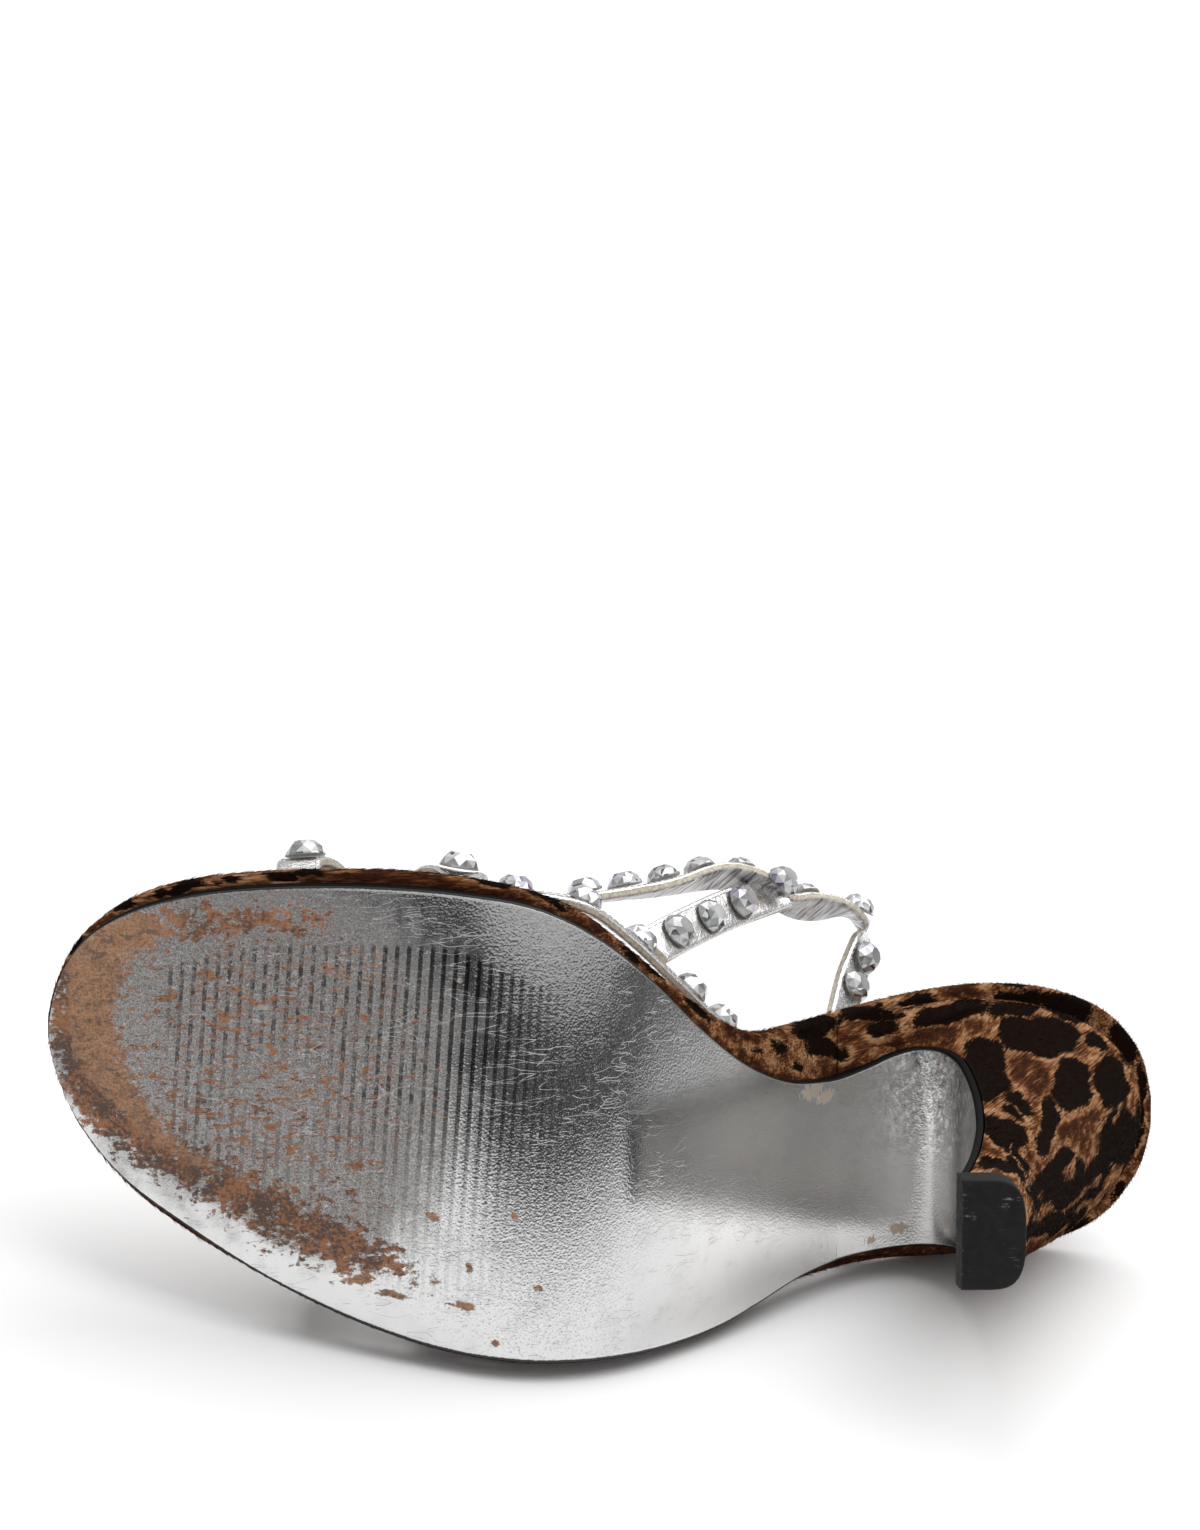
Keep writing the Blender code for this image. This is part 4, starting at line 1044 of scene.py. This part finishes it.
strap = {
    "width": 7.4, "thick": 1.8, "step": 1.1, "tapered": ("innerSide", "outerSide"), "taper": 9.0, "tip": 0.35,
    "rim": (  # shares of half the width and half the thickness
        (0.985, 0.58), (1.0, 0.30), (0.975, 0.02), (1.0, -0.35), (0.985, -0.78)),
    "ahead": 0.8, "runApart": 300,  # for the direction of a strap, and between the pleats of two straps
    "paths": {
        "toe": (
            (162.0, 56.6, -2.0, 0, 1, 0.1), (162.0, 58.2, 2.0, 0, 1, 0.1), (161.5, 59.6, 8.0, 0, 1, 0.3),
            (157.0, 55.6, 15.5, 0, 0.8, 0.6), (151.0, 38.5, 23.0, 0, 0.2, 1), (145.0, 18.0, 23.5, 0, -0.1, 1),
            (141.0, -1.0, 20.0, 0, -0.5, 0.9), (139.0, -12.6, 12.5, 0, -0.9, 0.5), (138.6, -16.8, 5.0, 0, -1, 0.2),
            (138.6, -18.6, 0.0, 0, -1, 0.1), (138.6, -18.6, -2.0, 0, -1, 0)),
        "ball": (
            (134.0, 55.0, -2.0, 0, 1, 0.1), (134.0, 56.6, 2.0, 0, 1, 0.1), (134.8, 57.4, 6.5, 0, 1, 0.2),
            (140.5, 55.6, 13.5, 0, 0.8, 0.6), (146.6, 38.5, 22.6, 0, 0.2, 1), (151.0, 18.0, 23.0, 0, -0.1, 1),
            (155.0, 2.0, 18.5, 0, -0.6, 0.8), (157.5, -6.4, 11.0, 0, -0.9, 0.4), (158.0, -10.4, 4.5, 0, -1, 0.2),
            (158.0, -11.0, 0.0, 0, -1, 0.1), (158.0, -11.0, -2.0, 0, -1, 0)),
        "innerSide": (
            (136.5, 55.6, 5.5, -0.1, 0.98, 0.1), (126.0, 54.4, 4.8, -0.15, 0.98, 0.1),
            (115.5, 52.4, 4.6, -0.37, 0.92, 0.1), (107.5, 46.9, 4.8, -0.63, 0.77, 0.06),
            (99.5, 39.0, 5.4, -0.7, 0.71, 0.04), (92.5, 31.5, 5.8, -0.7, 0.71, 0.03),
            (87.5, 26.4, 4.4, -0.69, 0.72, 0.03), (83.0, 22.4, 0.2, -0.68, 0.73, 0.04)),
        "innerBrace": (
            (102.0, 43.2, 6.4, -0.4, 0.7, -0.55), (97.0, 44.8, 9.2, -0.55, 0.5, -0.65),
            (86.5, 47.4, 13.0, -0.6, 0.45, -0.65), (76.4, 49.0, 14.6, -0.6, 0.7, -0.3)),
        "innerTopline": (
            (148.0, 29.0, 22.6, 0, 0.1, 1), (133.0, 43.0, 24.5, 0, 0.5, 1), (121.0, 49.2, 25.0, 0, 0.8, 0.6),
            (111.0, 51.0, 25.0, 0, 0.95, 0.3), (99.0, 51.6, 24.0, 0, 0.88, 0.45),
            (88.0, 52.9, 20.5, -0.1, 0.65, 0.75), (80.5, 50.8, 17.5, -0.2, 0.65, 0.75),
            (75.8, 47.6, 16.5, -0.35, 0.75, 0.5),
            (70.5, 45.8, 14.5, -0.1, 0.6, 0.8), (64.0, 44.4, 12.8, -0.4, 0.55, 0.75),
            (59.2, 42.0, 12.5, -0.85, 0.5, 0.2), (58.8, 37.0, 11.0, -0.9, 0.4, -0.25),
            (62.0, 30.5, 6.0, -0.8, 0.4, -0.5), (64.4, 25.6, 0.0, -0.8, 0.4, -0.5),
            (65.4, 23.6, -3.0, -0.8, 0.4, -0.5)),
        "outerSide": (
            (138.6, -17.2, 5.0, 0, -1, 0), (127.0, -18.0, 4.6, 0, -1, 0), (116.0, -18.4, 4.6, 0, -1, 0),
            (106.0, -18.3, 4.8, 0, -1, 0), (97.0, -17.5, 6.0, 0, -1, 0), (89.0, -16.2, 5.0, 0, -1, 0),
            (83.5, -15.0, 0.2, 0, -1, 0)),
        "outerTopline": (
            (144.0, 15.0, 23.4, 0, -0.1, 1), (132.0, 3.0, 25.5, 0, -0.5, 0.9), (119.0, -7.4, 26.5, 0.2, -0.8, 0.6),
            (107.0, -12.8, 27.0, 0.3, -0.9, 0.37), (95.0, -13.9, 26.0, 0.3, -0.9, 0.37),
            (84.0, -13.5, 24.0, 0.3, -0.9, 0.37), (76.0, -13.0, 22.0, 0.3, -0.9, 0.37),
            (68.0, -12.4, 20.0, 0.2, -0.9, 0.3), (61.0, -12.0, 17.0, -0.3, -0.9, 0.1),
            (57.5, -12.4, 11.0, -0.8, -0.6, 0), (58.5, -13.6, 5.0, -0.8, -0.6, 0), (61.0, -14.8, 0.0, -0.8, -0.6, 0),
            (62.0, -15.2, -3.0, -0.8, -0.6, 0)),
        "outerBrace": (
            (98.0, -17.6, 6.0, 0.2, -0.95, 0.2), (91.0, -15.7, 12.5, 0.2, -0.95, 0.2),
            (83.0, -13.6, 18.5, 0.2, -0.95, 0.2), (76.0, -13.0, 22.0, 0.3, -0.9, 0.3)),
    },
}
topOfBed = bed(np.linspace(0, 205, 206), 0.0, footbed["thick"])


class StrapLine:
    def __init__(self, rows):
        points = []
        for x, y, height, *face in rows:
            points.append((x, y, np.interp(x, topOfBed[:, 0], topOfBed[:, 2]) + height, *face))
        self.fine = smoothRows(points, 12)
        steps = np.linalg.norm(np.diff(self.fine[:, :3], axis=0), axis=1)
        self.run = np.concatenate(([0.0], np.cumsum(steps)))
        self.length = self.run[-1]

    def at(self, distance):
        return np.stack([np.interp(distance, self.run, self.fine[:, k]) for k in range(6)], -1)

    def frames(self, distance):  # middle, outward, along, sideways
        here = self.at(distance)
        along = unit(self.at(distance + strap["ahead"])[:, :3] - self.at(distance - strap["ahead"])[:, :3])
        out = unit(here[:, 3:] - (here[:, 3:] * along).sum(1)[:, None] * along)
        return here[:, :3], out, along, np.cross(along, out)


strapLines = {name: StrapLine(rows) for name, rows in strap["paths"].items()}


# across and out, and the finish of the face that starts there: 0 silver, 1 lining, 2 cut edge
def strapSection():
    half, deep = 0.5 * strap["width"], 0.5 * strap["thick"]
    front = [(w * half, deep * (0.80 + 0.20 * (1 - abs(w) ** 2.5)), 0) for w in np.linspace(0.93, -0.93, 11)]
    rim = [(-w * half, d * deep, kind) for (w, d), kind in zip(strap["rim"], (0, 2, 2, 2, 1))]
    back = [(w * half, -deep, 1) for w in np.linspace(-0.9, 0.9, 7)]
    other = [(w * half, d * deep, kind) for (w, d), kind in zip(strap["rim"][::-1], (2, 2, 2, 0, 0))]
    return front + rim + back + other


def makeStraps():
    section = strapSection()
    across = np.array([s[0] for s in section])
    out = np.array([s[1] for s in section])
    points, faces, kinds, runs = [], [], [], []
    for k, (name, line) in enumerate(strapLines.items()):
        distance = np.linspace(0, line.length, max(8, int(line.length / strap["step"])))
        middle, outWay, _, aside = line.frames(distance)
        narrow = np.ones(len(distance))
        if name in strap["tapered"]:
            narrow = lerp(strap["tip"], 1.0, ease(0, strap["taper"], line.length - distance))
        ring = middle[:, None] + (narrow[:, None] * across)[..., None] * aside[:, None]
        ring = ring + out[None, :, None] * outWay[:, None]
        first = sum(len(p) for p in points)
        count = len(section)
        points.append(ring.reshape(-1, 3))
        run = np.stack(np.broadcast_arrays(distance[:, None] + strap["runApart"] * k, across[None, :], 0.0), -1)
        runs.append(run.reshape(-1, 3))
        faces += ringFaces(len(distance), count, first)
        kinds += [s[2] for s in section] * (len(distance) - 1) + [2, 2]
    points = np.vstack(points)
    piece = makePiece("straps", points, faces, [finishStrap, finishLining, finishCut], kinds, run=np.vstack(runs))
    outward(piece, 60)
    return piece


strapsPiece = makeStraps()
settle(strapsPiece, "upper", slot="strap_leather")
print("straps:", len(strapsPiece.data.polygons), "faces")


# stitches along both edges of every strap

stitch = {
    "inset": 0.75, "pitch": 1.55, "length": 1.0, "radius": 0.11,
    "ends": 3.0, "guideStep": 1.5, "sunk": 0.93,  # bare ends, step of the guide lines, share of half the thickness
}


def stitchTree():
    g = Tree("stitch_rows", "Pitch Length Radius", Thread="Material")
    curve = g.node("GeometryNodeMeshToCurve", {"Mesh": g.given("Geometry")}).outputs[0]
    spaced = g.node("GeometryNodeCurveToPoints", {"Curve": curve, "Length": g.given("Pitch")}, mode="LENGTH")
    inputs = {"Vertices": 5, "Radius": g.given("Radius"), "Depth": g.given("Length")}
    bar = g.node("GeometryNodeMeshCylinder", inputs).outputs["Mesh"]
    many = g.instances(spaced.outputs["Points"], bar, g.aimed(spaced.outputs["Tangent"]))
    g.close(many, (g.given("Thread"), True))
    return g


def makeStitches():
    points, edges = [], []
    for name, line in strapLines.items():
        end = line.length - (strap["taper"] if name in strap["tapered"] else stitch["ends"])
        distance = np.linspace(stitch["ends"], end, int(line.length / stitch["guideStep"]))
        middle, outWay, _, aside = line.frames(distance)
        for side in (-1, 1):
            inset = side * (0.5 * strap["width"] - stitch["inset"])
            first = sum(len(p) for p in points)
            points.append(middle + inset * aside + (0.5 * strap["thick"] * stitch["sunk"]) * outWay)
            edges += [(first + i, first + i + 1) for i in range(len(distance) - 1)]
    mesh = bpy.data.meshes.new("stitches")
    mesh.from_pydata(lay(np.vstack(points)).tolist(), edges, [])
    return stitchTree().apply(link("stitches", mesh), Pitch=stitch["pitch"] * mm, Length=stitch["length"] * mm,
                              Radius=stitch["radius"] * mm, Thread=finishThread)


stitches = makeStitches()
settle(stitches, slot="strap_leather")
print("stitches:", len(stitches.data.polygons), "faces")


# stones, one for every stone solid of the frame

stone = {
    "radius": 3.5, "height": 2.6, "glueHeight": 0.2, "seed": 7, "large": 15, "smaller": 0.93,
    "turned": ("crystal_16", "crystal_20"),
    "rings": (  # sides, radius, height, turn
        (16, 0.97, 0.0, 0.0), (16, 1.0, 0.07, 0.0), (16, 0.985, 0.17, 0.0), (8, 0.82, 0.64, 0.0),
        (8, 0.50, 1.0, 0.5)),
}


def makeStoneShape():  # a faceted dome on a flat back, with a thin rim of glue
    bm = bmesh.new()
    rings = []
    for sides, radius, height, turn in stone["rings"]:
        ring = []
        for k in range(sides):
            angle = 2 * math.pi * (k + turn) / sides
            place = Vector((radius * math.cos(angle), radius * math.sin(angle), 0)) * stone["radius"]
            ring.append(bm.verts.new((place + Vector((0, 0, height * stone["height"]))) * mm))
        rings.append(ring)
    bm.faces.new(rings[0][::-1])
    for low, high in zip(rings, rings[1:]):
        sides = len(high)
        for k in range(sides):
            j = (k + 1) % sides
            faces = [(low[k], low[j], high[j], high[k])]  # the straight rim
            if len(low) > sides:
                a, b, c = low[2 * k], low[2 * k + 1], low[2 * j]
                faces = [(a, b, high[k]), (b, high[j], high[k]), (b, c, high[j])]
            elif sides == len(rings[-1]):
                faces = [(low[k], low[j], high[k]), (low[j], high[j], high[k])]
            for corners in faces:
                bm.faces.new(corners)
    bm.faces.new(rings[-1])
    mesh = bpy.data.meshes.new("stone_shape")
    bm.to_mesh(mesh)
    bm.free()
    draw = np.random.default_rng(stone["seed"])
    facet = mesh.attributes.new("facet", "FLOAT", "FACE")
    facet.data.foreach_set("value", draw.random(len(mesh.polygons)).astype(np.float32))
    rim = mesh.attributes.new("glueRim", "FLOAT", "FACE")
    rim.data.foreach_set("value", [float(f.center.z < stone["glueHeight"] * mm) for f in mesh.polygons])
    return bpy.data.objects.new("stone_shape", mesh)


def stoneTree():
    g = Tree("stone_setting", Shape="Object", Seed="Int", Glass="Material", Glue="Material")
    shape = g.node("GeometryNodeObjectInfo", {"Object": g.given("Shape")}).outputs["Geometry"]
    inputs = {"Axis": (0.0, 0.0, 1.0), "Angle": g.random(0.0, 2 * math.pi)}
    about = g.node("FunctionNodeAxisAngleToRotation", inputs).outputs[0]
    inputs = {"Rotation": g.aimed(g.named("axis", "FLOAT_VECTOR")), "Rotate By": about}
    turned = g.node("FunctionNodeRotateRotation", inputs, rotation_space="LOCAL").outputs[0]
    many = g.instances(g.given("Geometry"), shape, turned, Scale=g.named("size"))
    onRim = g.maths("GREATER_THAN", g.named("glueRim"), 0.5)
    g.close(many, (g.given("Glass"), True), (g.given("Glue"), onRim))
    return g


def makeStones():
    names = sorted(n for n in frame["nodes"] if n.startswith("crystal"))
    bases, ways = [], []
    for name in names:
        co = np.array([v.co for v in frame["nodes"][name].data.vertices])
        co = np.unique(co.round(7), axis=0)
        middle = co.mean(axis=0)
        way = np.linalg.eigh(np.cov((co - middle).T))[1][:, 0]
        rise = (co - middle) @ way
        spread = np.linalg.norm(co - middle - np.outer(rise, way), axis=1)
        if spread[rise > np.median(rise)].mean() > spread[rise < np.median(rise)].mean():
            way, rise = -way, -rise
        base = middle + way * rise.min()
        if stone["turned"][0] <= name <= stone["turned"][1]:  # these follow the side strap, which is on edge
            line = strapLines["innerSide"]
            walk = np.linspace(0, line.length, 400)
            along = walk[np.argmin(np.linalg.norm(lay(line.at(walk)[:, :3]) - middle, axis=1))]
            here, out = line.frames(np.array([along]))[:2]
            base = lay(here + 0.5 * strap["thick"] * out)[0]
            way = np.array(layWay(out[0]))
        bases.append(base)
        ways.append(way)
    mesh = bpy.data.meshes.new("stones")
    mesh.from_pydata([list(b) for b in bases], [], [])
    addAttribute(mesh, "axis", np.array(ways))
    addAttribute(mesh, "size", [1.0 if k < stone["large"] else stone["smaller"] for k in range(len(names))])
    piece = link("stones", mesh)
    shape = makeStoneShape()
    stoneTree().apply(piece, Shape=shape, Seed=stone["seed"], Glass=finishStone, Glue=finishGlue)
    bpy.data.objects.remove(shape)
    return piece, names


stonesPiece, stoneNodes = makeStones()
settle(stonesPiece, *stoneNodes, slot="crystal")
print("stones:", len(stonesPiece.data.polygons), "faces")


# studio: pale floor, soft light, camera at the photograph's angle

studio = {
    "floorRadius": 40.0, "floorColour": (0.92, 0.92, 0.92),
    "sunStrength": 2.35, "sunAngle": 75, "sunTurn": (-12, 14, 0),
    "lens": 3172 / 1530 * 36, "sensor": 36.0,  # 3172 pixels of lens for a picture 1530 high
    # brightness of the room by height: a pale strip at the floor, a dark stretch, then white that dips to one side
    "low": ((0.0, 0.62), (0.04, 0.50), (0.07, 0.20), (0.10, 0.045)),
    "high": ((0.30, 0.0), (0.32, 0.12), (0.345, 0.50), (0.8, 0.58)), "highSlope": 0.105,
    "pale": 0.50, "back": (0.4, 0.9), "left": (-0.56, -0.84),  # pale walls along y and at low x
}


def makeFloor():
    bm = bmesh.new()
    bmesh.ops.create_circle(bm, cap_ends=True, segments=64, radius=studio["floorRadius"])
    mesh = bpy.data.meshes.new("floor")
    bm.to_mesh(mesh)
    bm.free()
    finish = Shade("pale_floor")
    finish.put(Base_Color=studio["floorColour"], Roughness=0.7)
    mesh.materials.append(finish.holder)
    floor = link("floor", mesh)


def makeLights():
    sun = bpy.data.lights.new("overhead", "SUN")
    sun.energy, sun.angle = studio["sunStrength"], math.radians(studio["sunAngle"])
    link("overhead", sun).rotation_euler = [math.radians(a) for a in studio["sunTurn"]]
    s = Shade("studio", bpy.data.worlds)
    way = s.place("Generated")
    x, y, z = (s.part(way, axis) for axis in "XYZ")
    low = s.ramp(z, *((at, (bright,) * 3) for at, bright in studio["low"]))
    tilted = s.timesAdd(x, studio["highSlope"], z)
    high = s.ramp(tilted, *((at, (bright,) * 3) for at, bright in studio["high"]))
    walls = s.most(s.step(y, *studio["back"]), s.step(x, *studio["left"]))
    s.put(Color=s.blend(walls, s.blend(1.0, low, high, "ADD"), (studio["pale"],) * 3))
    bpy.context.scene.world = s.holder


def makeCamera():
    lens = bpy.data.cameras.new("camera")
    lens.lens, lens.sensor_width, lens.clip_start = studio["lens"], studio["sensor"], 0.01
    camera = link("camera", lens)
    forward = (Vector(lie["target"]) - Vector(lie["eye"])).normalized()
    right = Vector((-1, 0, 0))
    right = (right - right.dot(forward) * forward).normalized()
    axes = Matrix([layWay(way) for way in (right, right.cross(forward), -forward)]).transposed()
    camera.matrix_world = Matrix.Translation(Vector(lay([lie["eye"]])[0])) @ axes.to_4x4()
    bpy.context.scene.camera = camera


makeFloor()
makeLights()
makeCamera()
bpy.context.scene.view_settings.view_transform = "Standard"
print("studio made")
